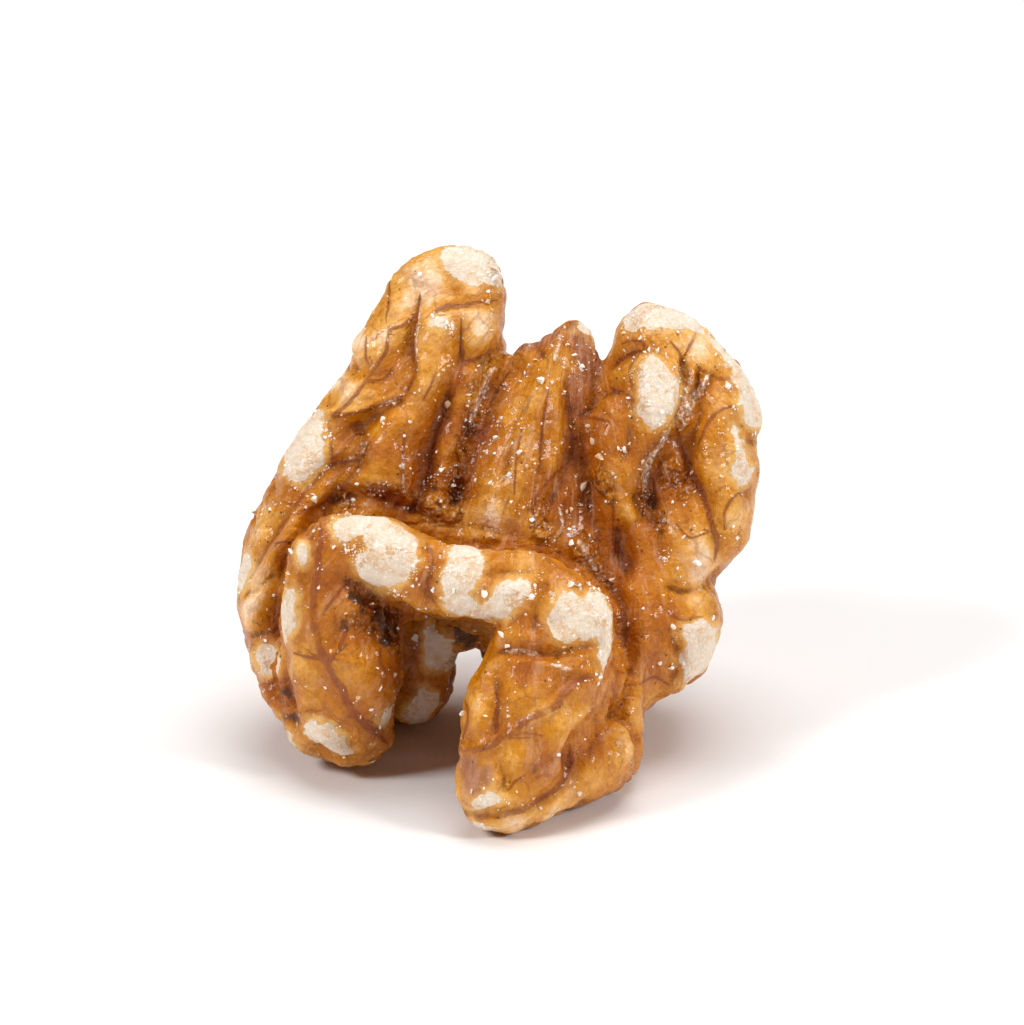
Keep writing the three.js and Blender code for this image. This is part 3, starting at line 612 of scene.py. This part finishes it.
class WALNUT_OT_crumbs(bpy.types.Operator):
    """Scatters crumbs of broken flesh over the inner face and round the rubbed places"""
    bl_idname = "walnut.crumbs"
    bl_label = "Crumbs"

    def execute(self, context):
        shape = context.scene.walnut_shape
        half = bpy.data.objects["walnut_half"]
        mesh = half.data
        places, out = read(mesh.vertices, "co", 3), normals_of(mesh)
        uvw = face_coordinates(places)
        rubbed = np.zeros(len(places), dtype=np.float32)
        mesh.attributes["rubbed"].data.foreach_get("value", rubbed)
        front = seen_from_front(uvw) > 0.9
        facing = face_coordinates(out, origin=False)[:, 2]
        # crumbs lie round the rubbed places and beside the embryo most, in patches, and less below and behind
        likely = np.where(front & (facing > 0), 0.25, 0.02)
        likely += np.where(front, 0.9 * bell((rubbed + 0.25) / 0.3), 0.05 * bell((rubbed + 0.2) / 0.3))
        likely += 0.5 * front * bell(np.hypot(uvw[:, 0] - 2, uvw[:, 1] - 5) / 4.5)
        likely *= np.where(uvw[:, 1] < -4, 0.45, 1)
        broad, fine = noise_at(uvw, 3.0, seed=11), noise_at(uvw, 0.9, seed=12)
        likely *= np.clip(broad + 0.6, 0.1, 1.5) * np.clip(3 * fine, 0.08, 2)
        generator = np.random.default_rng(3)
        chosen = generator.choice(len(places), shape.crumb_count, replace=False, p=likely / likely.sum())

        shards = []
        for seed in range(SHARD_COUNT):
            deselect_all()
            bpy.ops.mesh.primitive_ico_sphere_add(subdivisions=1, radius=0.5)
            bpy.ops.object.mode_set(mode="EDIT")
            bpy.ops.mesh.select_all(action="SELECT")
            bpy.ops.transform.vertex_random(offset=0.42, seed=seed)
            bpy.ops.object.mode_set(mode="OBJECT")
            shards.append(context.active_object)
        crumbs = []
        for i in chosen:
            shard = shards[generator.integers(len(shards))]
            crumb = shard.copy()
            crumb.data = shard.data.copy()
            size = shape.crumb_size * math.exp(CRUMB_VARIETY * generator.standard_normal())
            size = min(size, LARGEST_CRUMB)
            angle, axis = generator.uniform(0, 6.28), Vector(generator.normal(size=3)).normalized()
            turn = Matrix.Rotation(angle, 4, axis)
            stretch = Matrix.Diagonal((*(size * generator.uniform(0.35, 1.7, 3)), 1))
            spot = Vector(places[i] + out[i] * size * CRUMB_LIFT)
            crumb.matrix_world = Matrix.Translation(spot) @ turn @ stretch
            context.collection.objects.link(crumb)
            crumbs.append(crumb)
        for shard in shards:
            bpy.data.objects.remove(shard)
        deselect_all()
        for crumb in crumbs:
            crumb.select_set(True)
        context.view_layer.objects.active = crumbs[0]
        bpy.ops.object.join()
        dust = context.active_object
        dust.name = "crumbs"
        bpy.ops.object.transform_apply(location=True, rotation=True, scale=True)
        keep_inside(dust)
        dust.data.materials.clear()
        dust.data.materials.append(dry_flesh(context.scene.walnut_colours))
        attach(dust, "root")
        return {"FINISHED"}


def dry_flesh(colours):
    """Walnut flesh crumbs: broken dry flesh, chalky and pale, which gives the face its salt-like specks."""
    material, tree = new_material("dry walnut flesh")
    position = add(tree, "TexCoord").outputs["Object"]
    patches = add(tree, "TexNoise", inputs={"Scale": 1 / (1.5 * MM), "Detail": 1.0, "Vector": position})
    pale = add(tree, "MapRange", SMOOTH, {"Value": patches, 1: 0.38, 2: 0.52})
    shade = add(tree, "Mix", COLOURS, {"Factor": pale, 6: rgba("#E2BD92"), 7: (*colours.crumb, 1)}).outputs[2]
    surface = add(tree, "BsdfPrincipled", inputs={
        "Base Color": shade, "Roughness": 0.6, "IOR": 1.46,
        "Subsurface Weight": 0.2, "Subsurface Radius": (1.0, 0.7, 0.4), "Subsurface Scale": 0.1 * MM})
    add(tree, "OutputMaterial", inputs={"Surface": surface})
    return material


def fine_copy(shape):
    """A copy of the solid, as one even and softened surface."""
    pick(frame["nodes"]["kernel"])
    bpy.ops.object.duplicate()
    half = bpy.context.active_object
    half.name = "walnut_half"
    for key in [key for key in half.keys() if key.startswith("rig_")]:
        del half[key]
    half.parent = None
    half.matrix_world = Matrix.Identity(4)
    bpy.ops.object.mode_set(mode="EDIT")
    bpy.ops.mesh.select_all(action="SELECT")
    bpy.ops.mesh.remove_doubles(threshold=0.005 * MM)
    bpy.ops.object.mode_set(mode="OBJECT")
    apply_modifier(half, "REMESH", mode="VOXEL", voxel_size=shape.mesh_size)
    keep_outer_shell(half)
    apply_modifier(half, "SMOOTH", factor=0.5, iterations=14)
    return half


def keep_outer_shell(half):
    """Deletes what isn't joined to the topmost vertex: the remesh can leave bubbles inside."""
    bpy.ops.object.mode_set(mode="EDIT")
    bpy.ops.mesh.select_all(action="DESELECT")
    bpy.ops.object.mode_set(mode="OBJECT")
    heights = read(half.data.vertices, "co", 3)[:, 2]
    half.data.vertices[int(heights.argmax())].select = True
    bpy.ops.object.mode_set(mode="EDIT")
    bpy.ops.mesh.select_linked()
    bpy.ops.mesh.select_all(action="INVERT")
    bpy.ops.mesh.delete(type="VERT")
    bpy.ops.object.mode_set(mode="OBJECT")


def normals_of(mesh):
    return read(mesh.vertex_normals, "vector", 3)


def spread(mesh, values, rounds):
    """Values of the vertices, evened out with their neighbours' a number of times."""
    edges = read(mesh.edges, "vertices", 2).astype(int)
    count = np.bincount(edges.ravel(), minlength=len(values))
    for _ in range(rounds):
        total = np.bincount(edges[:, 0], values[edges[:, 1]], len(values)) + np.bincount(
            edges[:, 1], values[edges[:, 0]], len(values))
        values = 0.5 * values + 0.5 * total / count
    return values


def seen_from_front(uvw):
    """How clearly each place is the outermost one along w, from 0 to 1."""
    cell, margin, row = 0.3, 30, 1000
    column, line = np.floor((uvw[:, :2] + margin) / cell).astype(int).T
    key = column * row + line
    top = np.full(row * row, -1e9)
    np.maximum.at(top, key, uvw[:, 2])
    neighbours = np.max([top[key + i * row + j] for i in (-1, 0, 1) for j in (-1, 0, 1)], axis=0)
    return np.clip(1.6 - (neighbours - uvw[:, 2]) / 1.2, 0, 1)


# Upper edge of the arch, as (u, v).
ARCH_EDGE = [
    (-14.2, -5.4), (-13.9, -3.2), (-12.8, -1.4), (-11.6, 0.6), (-10.2, 1.7), (-8, 2), (-6, 1.1), (-4, 0.2),
    (-1.5, 0), (0.5, -0.4), (2.4, -1.2), (4.2, -2.2), (6.2, -3), (7.1, -4.6), (7.3, -8.4),
]


def zones(uvw, facing):
    """How far each place belongs to the wings' inner face and to the front of the arch, from 0 to 1."""
    front = seen_from_front(uvw) * np.clip((facing + 0.1) / 0.5, 0, 1)
    edge = np.array(ARCH_EDGE)
    below = np.interp(uvw[:, 0], edge[:, 0], edge[:, 1], left=-99, right=-14) - uvw[:, 1]
    arch = front * np.clip((uvw[:, 2] + 2.4) / 0.8, 0, 1) * np.clip(below / 0.5 + 0.6, 0, 1)
    return front - arch, arch


def sculpt(half, shape):
    """Moves the surface: swellings, folds, gyri and veins. Returns the zones of the wings and the arch."""
    mesh = half.data
    places = read(mesh.vertices, "co", 3)
    uvw = face_coordinates(places)
    out = normals_of(mesh)
    facing = face_coordinates(out, origin=False)[:, 2]
    plate, arch = (spread(mesh, zone, 3) for zone in zones(uvw, facing))
    front = plate + arch
    lift = np.zeros(len(places))
    uv = uvw[:, :2]

    for where, relief in ((plate, WING_RELIEF), (arch, ARCH_RELIEF)):
        for height, half_width, points in relief:
            d, along, _ = from_line(uv, points, reach=4.5 * half_width)
            if height > 0:
                lift += shape.relief * height * bell(d / half_width) * where
            else:
                ends = np.clip(np.minimum(along, 1 - along) * 7 + 0.3, 0, 1)
                fold = bell(d / half_width) - 0.25 * bell((d - 2.2 * half_width) / half_width)
                lift += FOLD_DEPTH * shape.relief * height * fold * ends * where
    for half_width, points in VEINS:
        d, _, _ = from_line(uv, points, reach=2.0)
        lift += shape.vein_height / MM * bell(d / (half_width + 0.06)) * front

    back = 1 - np.clip((facing + 0.35) / 0.5, 0, 1)
    broad = noise_at(uvw, 3.2, seed=1, octaves=2)
    ridged = 1 - 2 * np.abs(noise_at(uvw * (1, 1.5, 1), 2.6, seed=2))
    lift += shape.gyrus_wrinkle / MM * (0.6 * broad + 0.7 * (ridged - 0.5)) * back
    pinched = np.abs(noise_at(uvw * (1, 1.3, 1), 1.9, seed=4, octaves=2))
    lift -= 0.5 * shape.gyrus_wrinkle / MM * bell(pinched / 0.09) * np.clip(1.3 - front, 0, 1)
    streaks = noise_at(uvw * (1, 0.35, 1), 1.3, seed=3, octaves=2)
    lift += 0.16 * streaks * (1 - back)
    lift += 0.22 * broad * (1 - back)

    lift = spread(mesh, lift, 1)
    places += out * (lift * MM)[:, None]
    mesh.vertices.foreach_set("co", places.ravel())
    mesh.update()
    apply_modifier(half, "SMOOTH", factor=0.5, iterations=1)
    keep_inside(half)
    return plate, arch


def keep_inside(half):
    """Draws the few highest spots back into the solid's box."""
    low, high = CAD_BOX
    places = read(half.data.vertices, "co", 3)
    places = np.clip(places, np.array(low), np.array(high))
    half.data.vertices.foreach_set("co", places.ravel())
    half.data.update()


def store(mesh, name, values, kind="FLOAT"):
    attribute = mesh.attributes.new(name, kind, "POINT")
    field = "value" if kind == "FLOAT" else "vector"
    attribute.data.foreach_set(field, np.ascontiguousarray(values, dtype=np.float32).ravel())


def hollowness(mesh, places, out, rounds):
    """How far each place lies below the mean of its neighbourhood, in mm; crests are negative."""
    mean = np.stack([spread(mesh, places[:, axis], rounds) for axis in range(3)], axis=1)
    return ((mean - places) * out).sum(axis=1) / MM


def paint(half, plate, arch):
    """Stores the coat's tone, with painted light and shade, and where it is rubbed, veined, folded, crinkled
    or stained; the fold lines, the creases and some of the stains are painted shade.
    """
    mesh = half.data
    places = read(mesh.vertices, "co", 3)
    uvw = face_coordinates(places)
    uv = uvw[:, :2]
    out = normals_of(mesh)
    facing = face_coordinates(out, origin=False)[:, 2]
    arch = arch > 0.4
    plate = (plate > 0.3) & ~arch
    front = plate | arch

    hollow = hollowness(mesh, places, out, 60)
    crease_shade_depth = hollowness(mesh, places, out, 10)

    rubbed = np.full(len(places), OUTSIDE)
    for where, dabs in ((plate, RUBBED_FACE), (arch, RUBBED_ARCH), (uvw[:, 2] < -5.0, RUBBED_REAR)):
        rubbed = np.where(where & (facing > -0.5), np.maximum(rubbed, reach_of(uv, dabs)), rubbed)
    crests = (-hollow - 0.34) * 3.0 + 0.9 * noise_at(uvw, 2.4, seed=5)
    hidden = np.clip((0.15 - facing) / 0.3, 0, 1)
    rubbed = np.maximum(rubbed, crests * hidden + OUTSIDE * (1 - hidden))
    store(mesh, "rubbed", np.clip(rubbed, OUTSIDE, -OUTSIDE))

    tone_and_shading = np.zeros(len(places))
    for amount, radius, place in TONES_AND_SHADING:
        tone_and_shading += amount * bell(np.hypot(*(uv - place).T) / radius)
    # painted shade and light: the coat is made darker in the hollows and lighter on the crests
    tone_and_shading = np.where(front, tone_and_shading, -0.1) - 0.8 * np.clip(hollow, -0.45, 0.6) + 0.25 * noise_at(uvw, 3.5, seed=7)
    store(mesh, "tone_and_shading", np.clip(tone_and_shading, -1, 1))
    store(mesh, "web", np.where(front, np.clip(reach_of(uv, WEB) / 0.5 + 0.5, 0, 1), 0))
    store(mesh, "crinkle", np.where(front, np.clip(reach_of(uv, CRINKLES) / 0.5 + 0.3, 0, 1), 0))

    # distance over half width, with a sign for the two sides, which draws a crisp line
    vein, side = nearest(uv, VEINS)
    store(mesh, "vein", np.where(front, vein, FAR))
    store(mesh, "vein_side", np.where(front, side, FAR))
    store(mesh, "ridge", np.where(front, nearest(uv, GLINTS)[0], FAR))
    # painted shade: a thin dark line drawn along each fold
    folds = []
    for relief in (WING_RELIEF, ARCH_RELIEF):
        thin = [(FOLD_LINE, points) for height, _, points in relief if SHADED_FOLD < height < 0]
        folds.append(nearest(uv, thin)[0])
    store(mesh, "fold", np.select([plate, arch], folds, FAR))

    store(mesh, "stain_and_shade", np.where(front, reach_of(uv, STAINS_AND_SHADE), OUTSIDE))
    # painted shade: fine hollowness, which darkens the coat in its creases
    store(mesh, "crease_shade", crease_shade_depth)

    right, down = uv[:, 0] - FAN_TOP[0], FAN_TOP[1] - uv[:, 1]
    fan = np.degrees(np.arctan2(right, down)) * 0.32
    strand = np.stack([fan, np.hypot(right, down) * 0.16, uvw[:, 2] * 0.4], axis=1)
    store(mesh, "strand", strand, "FLOAT_VECTOR")
    d, _, width = from_line(uv, EMBRYO)
    store(mesh, "embryo", np.where(plate, np.clip((width - d) / 1.2, 0, 1), 0))


# settings and sockets that many nodes share
SMOOTH = {"interpolation_type": "SMOOTHSTEP"}
EVEN = {"interpolation_type": "LINEAR"}
COLOURS = {"data_type": "RGBA"}
TIMES, PLUS, MINUS, MOST = ({"operation": name} for name in ("MULTIPLY", "ADD", "SUBTRACT", "MAXIMUM"))


def rgba(hex_colour):
    return (*linear(hex_colour), 1)


def seed_coat(colours):
    """Walnut seed coat (testa): a thin, oily, amber skin over pale flesh, veined, specked and rubbed off the
    crests. It looks warm and translucent, with small wet glints beside dull, chalky patches; painted shade
    darkens its creases, folds and hollows, and painted sheen and glints lighten its swellings and crinkles."""
    material, tree = new_material("walnut seed coat")
    place = add(tree, "TexCoord").outputs["Object"]
    stored = {name: add(tree, "Attribute", {"attribute_name": name}).outputs["Fac"] for name in (
        "tone_and_shading", "crease_shade", "fold", "ridge", "crinkle", "web", "vein", "vein_side", "rubbed", "stain_and_shade",
        "embryo")}
    strand = add(tree, "Attribute", {"attribute_name": "strand"}).outputs["Vector"]
    embryo = stored["embryo"]

    # noises that vary the coat, by name: size of the bumps, detail, roughness and, on two, distortion
    noises = {}
    for name, vector, size, *look in (
            ("cloud", place, 2.2 * MM, 4, 0.6), ("fleck", place, 0.35 * MM, 3, 0.7),
            ("dry", place, 1.7 * MM, 4, 0.65), ("fibre", strand, 0.5, 4, 0.7),
            ("grain", place, 0.5 * MM, 4, 0.65), ("fold_gap", place, 1.9 * MM, 2, 0.5),
            ("wobble", place, 0.7 * MM, 3, 0.5), ("vein_gap", place, 1.6 * MM, 2, 0.5),
            ("warp", place, 2.0 * MM, 2, 0.5), ("net_gap", place, 2.6 * MM, 1, 0.5),
            ("glitter", place, 0.24 * MM, 3, 0.6), ("ragged", place, 1.1 * MM, 3, 0.5),
            ("frayed", place, 0.3 * MM, 2, 0.5), ("margin", place, 2.4 * MM, 1, 0.5),
            ("flesh", place, 0.8 * MM, 5, 0.7), ("left_skin", place, 1.3 * MM, 6, 0.74, 0.8),
            ("powder", place, 0.2 * MM, 3, 0.7), ("stain_and_shade", place, 0.7 * MM, 4, 0.5),
            ("wrinkle", place, 0.9 * MM, 5, 0.62, 0.6), ("line", strand, 0.42, 4, 0.65),
            ("pore", place, 0.25 * MM, 3, 0.6), ("crumble", place, 0.26 * MM, 4, 0.7),
            ("gloss", place, 0.8 * MM, 3, 0.5)):
        noises[name] = add(tree, "TexNoise", inputs={
            "Vector": vector, "Scale": 1 / size, **dict(zip(("Detail", "Roughness", "Distortion"), look))})
    # the same about zero, times a reach
    sway = {}
    for name, source, reach in (
            ("cloud", "cloud", 1.3), ("fleck", "fleck", 0.85), ("fold", "grain", 5), ("ridge", "grain", 3),
            ("vein", "wobble", 1.8), ("ragged", "ragged", 1.1), ("frayed", "frayed", 0.35),
            ("stain_and_shade", "stain_and_shade", 1.6)):
        centred = add(tree, "Math", MINUS, {0: noises[source], 1: 0.5})
        sway[name] = add(tree, "Math", TIMES, {0: centred, 1: reach})

    # amber coat, from deep and translucent to pale and dry; its tone also holds painted shade, darker in the
    # hollows, and painted sheen, paler on the swellings
    tone_and_shading = add(tree, "Math", PLUS, {0: sway["cloud"], 1: sway["fleck"]})
    tone_and_shading = add(tree, "Math", PLUS, {0: stored["tone_and_shading"], 1: tone_and_shading})
    shades = add(tree, "ValToRGB", inputs={"Fac": add(tree, "MapRange", EVEN, {"Value": tone_and_shading, 1: -1, 2: 1})})
    stops = shades.color_ramp.elements
    stops[0].color, stops[-1].color = (*colours.coat_deep, 1), (*colours.coat_pale, 1)
    stops.new(0.45).color = (*colours.coat, 1)
    for spot, shade in ((0.22, "#A45400"), (0.62, "#CE840E"), (0.8, "#E8AA50")):
        stops.new(spot).color = rgba(shade)

    # masks, by name: what they follow, where they are empty and full, and their limits where not 0 and 1
    swayed = {name: add(tree, "Math", PLUS, {0: stored[name], 1: sway[name]})
              for name in ("fold", "ridge", "stain_and_shade")}
    masks = {}
    for name, source, *limits in (
            ("dry", noises["dry"], 0.52, 0.66), ("dry_skin_and_sheen", tone_and_shading, -0.1, 0.5, 0, 0.5),
            ("pale_fibre", noises["fibre"], 0.52, 0.68), ("dark_fibre", noises["fibre"], 0.46, 0.36),
            ("crease_shade", stored["crease_shade"], 0.04, 0.16), ("fold_gap", noises["fold_gap"], 0.36, 0.6),
            ("web_fibre", noises["fibre"], 0.35, 0.6, 0.55, 1), ("web_shade", noises["fibre"], 0.4, 0.62),
            ("near_vein", stored["vein"], 3.4, 2.2), ("vein_gap", noises["vein_gap"], 0.3, 0.5, 0.55, 1),
            ("vein_halo", stored["vein"], 3.4, 0.6), ("net_gap", noises["net_gap"], 0.42, 0.58),
            ("ridge_painted_glint", noises["glitter"], 0.48, 0.58), ("crinkle_painted_glint", noises["glitter"], 0.57, 0.64),
            ("margin_gap", noises["margin"], 0.4, 0.6, 0.35, 0.95),
            ("tan_flesh", noises["flesh"], 0.46, 0.66),
            ("left_skin", noises["left_skin"], 0.54, 0.66), ("powder", noises["powder"], 0.52, 0.6),
            ("wrinkle", tone_and_shading, -0.7, 0.6, 0.34, 0.18), ("rough", noises["gloss"], 0.3, 0.7, 0.2, 0.42),
            ("fold", swayed["fold"], 1.6, 0.3), ("ridge", swayed["ridge"], 1.5, 0.3),
            ("stain_and_shade", swayed["stain_and_shade"], -0.1, 0.35)):
        masks[name] = add(tree, "MapRange", SMOOTH, {"Value": source, **dict(enumerate(limits, 1))})
    stringy = add(tree, "MapRange", EVEN, {"Value": embryo, 3: 0.36, 4: 0.62})
    ridge = masks["ridge"]

    # painted shade: creases and folds are darkened, where shade falls in them
    fold = add(tree, "Math", TIMES, {0: masks["fold"], 1: masks["fold_gap"]})

    # veins: the large ones, their soft edge, and a fine net
    across = add(tree, "Math", PLUS, {0: stored["vein_side"], 1: sway["vein"]})
    across = add(tree, "Math", {"operation": "ABSOLUTE"}, {0: across})
    vein = add(tree, "MapRange", SMOOTH, {"Value": across, 1: 1.5, 2: 0.5})
    for part in ("near_vein", "vein_gap"):
        vein = add(tree, "Math", TIMES, {0: vein, 1: masks[part]})
    halo = add(tree, "Math", TIMES, {0: masks["vein_halo"], 1: 0.24})
    vein = add(tree, "Math", MOST, {0: vein, 1: halo})
    warp = add(tree, "VectorMath", {"operation": "MULTIPLY_ADD"}, {
        0: noises["warp"].outputs["Color"], 1: (1.6 * MM, 1.6 * MM, 1.6 * MM), 2: place})
    net = add(tree, "TexVoronoi", {"feature": "DISTANCE_TO_EDGE"}, {"Vector": warp, "Scale": 1 / (2.6 * MM)})
    net = add(tree, "MapRange", SMOOTH, {"Value": net.outputs["Distance"], 1: 0.05, 2: 0.01})
    for part in (masks["net_gap"], 0.42):
        net = add(tree, "Math", TIMES, {0: net, 1: part})
    vein = add(tree, "Math", MOST, {0: vein, 1: net})

    # rubbed places show the pale flesh, with a honey-coloured margin
    ragged = add(tree, "Math", PLUS, {0: sway["ragged"], 1: sway["frayed"]})
    rubbed = add(tree, "Math", PLUS, {0: stored["rubbed"], 1: ragged})
    margin = add(tree, "MapRange", SMOOTH, {"Value": rubbed, 1: -0.6, 2: 0})
    margin = add(tree, "Math", TIMES, {0: margin, 1: masks["margin_gap"]})
    bare = add(tree, "MapRange", SMOOTH, {"Value": rubbed, 1: -0.03, 2: 0.1})

    # crinkled skin and the thin ridges get painted glints: pale specks in the coat's colour
    crinkle = add(tree, "Math", MOST, {0: stored["crinkle"], 1: ridge})
    painted_glints = add(tree, "Math", TIMES, {0: crinkle, 1: 0.45})
    painted_glints = add(tree, "Math", TIMES, {0: painted_glints, 1: masks["crinkle_painted_glint"]})
    ridge_painted_glints = add(tree, "Math", TIMES, {0: ridge, 1: masks["ridge_painted_glint"]})
    painted_glints = add(tree, "Math", MOST, {0: ridge_painted_glints, 1: painted_glints})

    # the coat's layers: mask, how much of it, and colour. The crease and fold layers are painted shade, the
    # pale flakes are painted glints, and the dry layer on the pale tones is partly painted sheen
    # pinkish dry skin, which on the pale tones is partly painted sheen
    dry_share = add(tree, "Math", TIMES, {0: embryo, 1: 0.25})
    dry_share = add(tree, "Math", PLUS, {0: masks["dry_skin_and_sheen"], 1: dry_share})
    dark_share = add(tree, "Math", TIMES, {0: stringy, 1: 0.7})
    papery = add(tree, "Mix", COLOURS, {
        "Factor": masks["web_shade"], 6: rgba("#8F5138"), 7: rgba("#BC8260")}).outputs[2]
    colour = shades
    for mask, share, layer in (
            (masks["dry"], dry_share, rgba("#CC9468")), (masks["pale_fibre"], stringy, rgba("#DDAA80")),
            (masks["dark_fibre"], dark_share, rgba("#84430F")), (masks["crease_shade"], 0.4, rgba("#6E3506")),
            (fold, 0.5, rgba("#5C2A0A")), (stored["web"], masks["web_fibre"], papery),
            (vein, 0.74, (*colours.vein, 1)), (ridge, 0.55, rgba("#E3A878")),
            (painted_glints, 0.85, rgba("#FBEBDA")), (margin, 1, rgba("#EAB564"))):
        share = add(tree, "Math", TIMES, {0: mask, 1: share})
        colour = add(tree, "Mix", COLOURS, {"Factor": share, 6: colour, 7: layer}).outputs[2]

    # bare flesh, with tan patches, traces of skin and powder
    flesh = (*colours.flesh, 1)
    for mask, share, layer in (
            (masks["tan_flesh"], 1, rgba("#E6BE8E")), (masks["left_skin"], 0.7, rgba("#D39A54")),
            (masks["powder"], 0.75, rgba("#FBF4EA"))):
        share = add(tree, "Math", TIMES, {0: mask, 1: share})
        flesh = add(tree, "Mix", COLOURS, {"Factor": share, 6: flesh, 7: layer}).outputs[2]
    colour = add(tree, "Mix", COLOURS, {"Factor": bare, 6: colour, 7: flesh}).outputs[2]

    # tannin stains, with painted shade under the arch, and specks in about a third of the cells, on the coat
    # only
    cells = add(tree, "TexVoronoi", inputs={"Vector": place, "Scale": 1 / (0.75 * MM)})
    chosen = add(tree, "Math", {"operation": "GREATER_THAN"}, {
        0: add(tree, "SeparateColor", inputs={"Color": cells.outputs["Color"]}), 1: 0.64})
    speck = add(tree, "MapRange", SMOOTH, {"Value": cells.outputs["Distance"], 1: 0.15, 2: 0.09})
    for part in (chosen, add(tree, "Math", MINUS, {0: 1, 1: bare}), 0.85):
        speck = add(tree, "Math", TIMES, {0: speck, 1: part})
    dark = add(tree, "Math", MOST, {0: masks["stain_and_shade"], 1: speck})
    dark = add(tree, "Math", TIMES, {0: dark, 1: 0.85})
    colour = add(tree, "Mix", COLOURS, {"Factor": dark, 6: colour, 7: (*colours.stain_and_shade, 1)}).outputs[2]

    # fine relief, in mm: wrinkles, pores, strands, crinkles, folds, ridges, veins, and sunk, crumbly flesh
    puckers = add(tree, "TexVoronoi", {"feature": "SMOOTH_F1"}, {
        "Vector": warp, "Scale": 1 / (0.5 * MM), "Smoothness": 0.4})
    line_share = add(tree, "MapRange", EVEN, {"Value": embryo, 3: 0.13, 4: 0.28})
    pucker_share = add(tree, "Math", TIMES, {0: stored["crinkle"], 1: 0.8})
    crumble_share = add(tree, "Math", TIMES, {0: bare, 1: 0.16})
    height = add(tree, "Math", TIMES, {0: noises["wrinkle"], 1: masks["wrinkle"]})
    for relief, share in (
            (noises["pore"], 0.1), (noises["line"], line_share), (puckers, pucker_share), (fold, -0.06),
            (ridge, 0.12), (vein, 0.06), (bare, -0.05), (noises["crumble"], crumble_share)):
        part = add(tree, "Math", TIMES, {0: relief, 1: share})
        height = add(tree, "Math", PLUS, {0: height, 1: part})
    bump = add(tree, "Bump", inputs={"Height": height, "Strength": 0.95, "Distance": MM})

    # oily gloss, sharper where the skin is crinkled and chalky where the flesh is bare
    sharper = add(tree, "Math", TIMES, {0: crinkle, 1: 0.14})
    rough = add(tree, "Math", MINUS, {0: masks["rough"], 1: sharper})
    chalky = add(tree, "Math", TIMES, {0: bare, 1: 0.35})
    rough = add(tree, "Math", {"operation": "ADD", "use_clamp": True}, {0: rough, 1: chalky})
    surface = add(tree, "BsdfPrincipled", inputs={
        "Base Color": colour, "Roughness": rough, "Normal": bump, "IOR": 1.47,
        "Subsurface Weight": 0.16, "Subsurface Radius": (1.0, 0.5, 0.2), "Subsurface Scale": 0.6 * MM,
        "Specular IOR Level": 0.3, "Coat Weight": 0.2, "Coat Roughness": 0.08})
    add(tree, "OutputMaterial", inputs={"Surface": surface})
    return material


class WALNUT_PT_panel(bpy.types.Panel):
    bl_label = "Walnut"
    bl_idname = "WALNUT_PT_panel"
    bl_space_type = "VIEW_3D"
    bl_region_type = "UI"
    bl_category = "Walnut"

    def draw(self, context):
        layout = self.layout
        for group in (context.scene.walnut_shape, context.scene.walnut_colours):
            for name in group.__annotations__:
                layout.prop(group, name)
        for operator in OPERATORS:
            layout.operator(operator.bl_idname)


OPERATORS = (WALNUT_OT_stage, WALNUT_OT_kernel, WALNUT_OT_crumbs)
CLASSES = (WalnutShape, WalnutColours, *OPERATORS, WALNUT_PT_panel)


def register():
    for cls in CLASSES:
        bpy.utils.register_class(cls)
    bpy.types.Scene.walnut_shape = bpy.props.PointerProperty(type=WalnutShape)
    bpy.types.Scene.walnut_colours = bpy.props.PointerProperty(type=WalnutColours)


def unregister():
    del bpy.types.Scene.walnut_colours
    del bpy.types.Scene.walnut_shape
    for cls in reversed(CLASSES):
        bpy.utils.unregister_class(cls)


def main():
    register()
    bpy.ops.walnut.stage()
    bpy.ops.walnut.kernel()
    bpy.ops.walnut.crumbs()


if __name__ == "__main__":
    main()
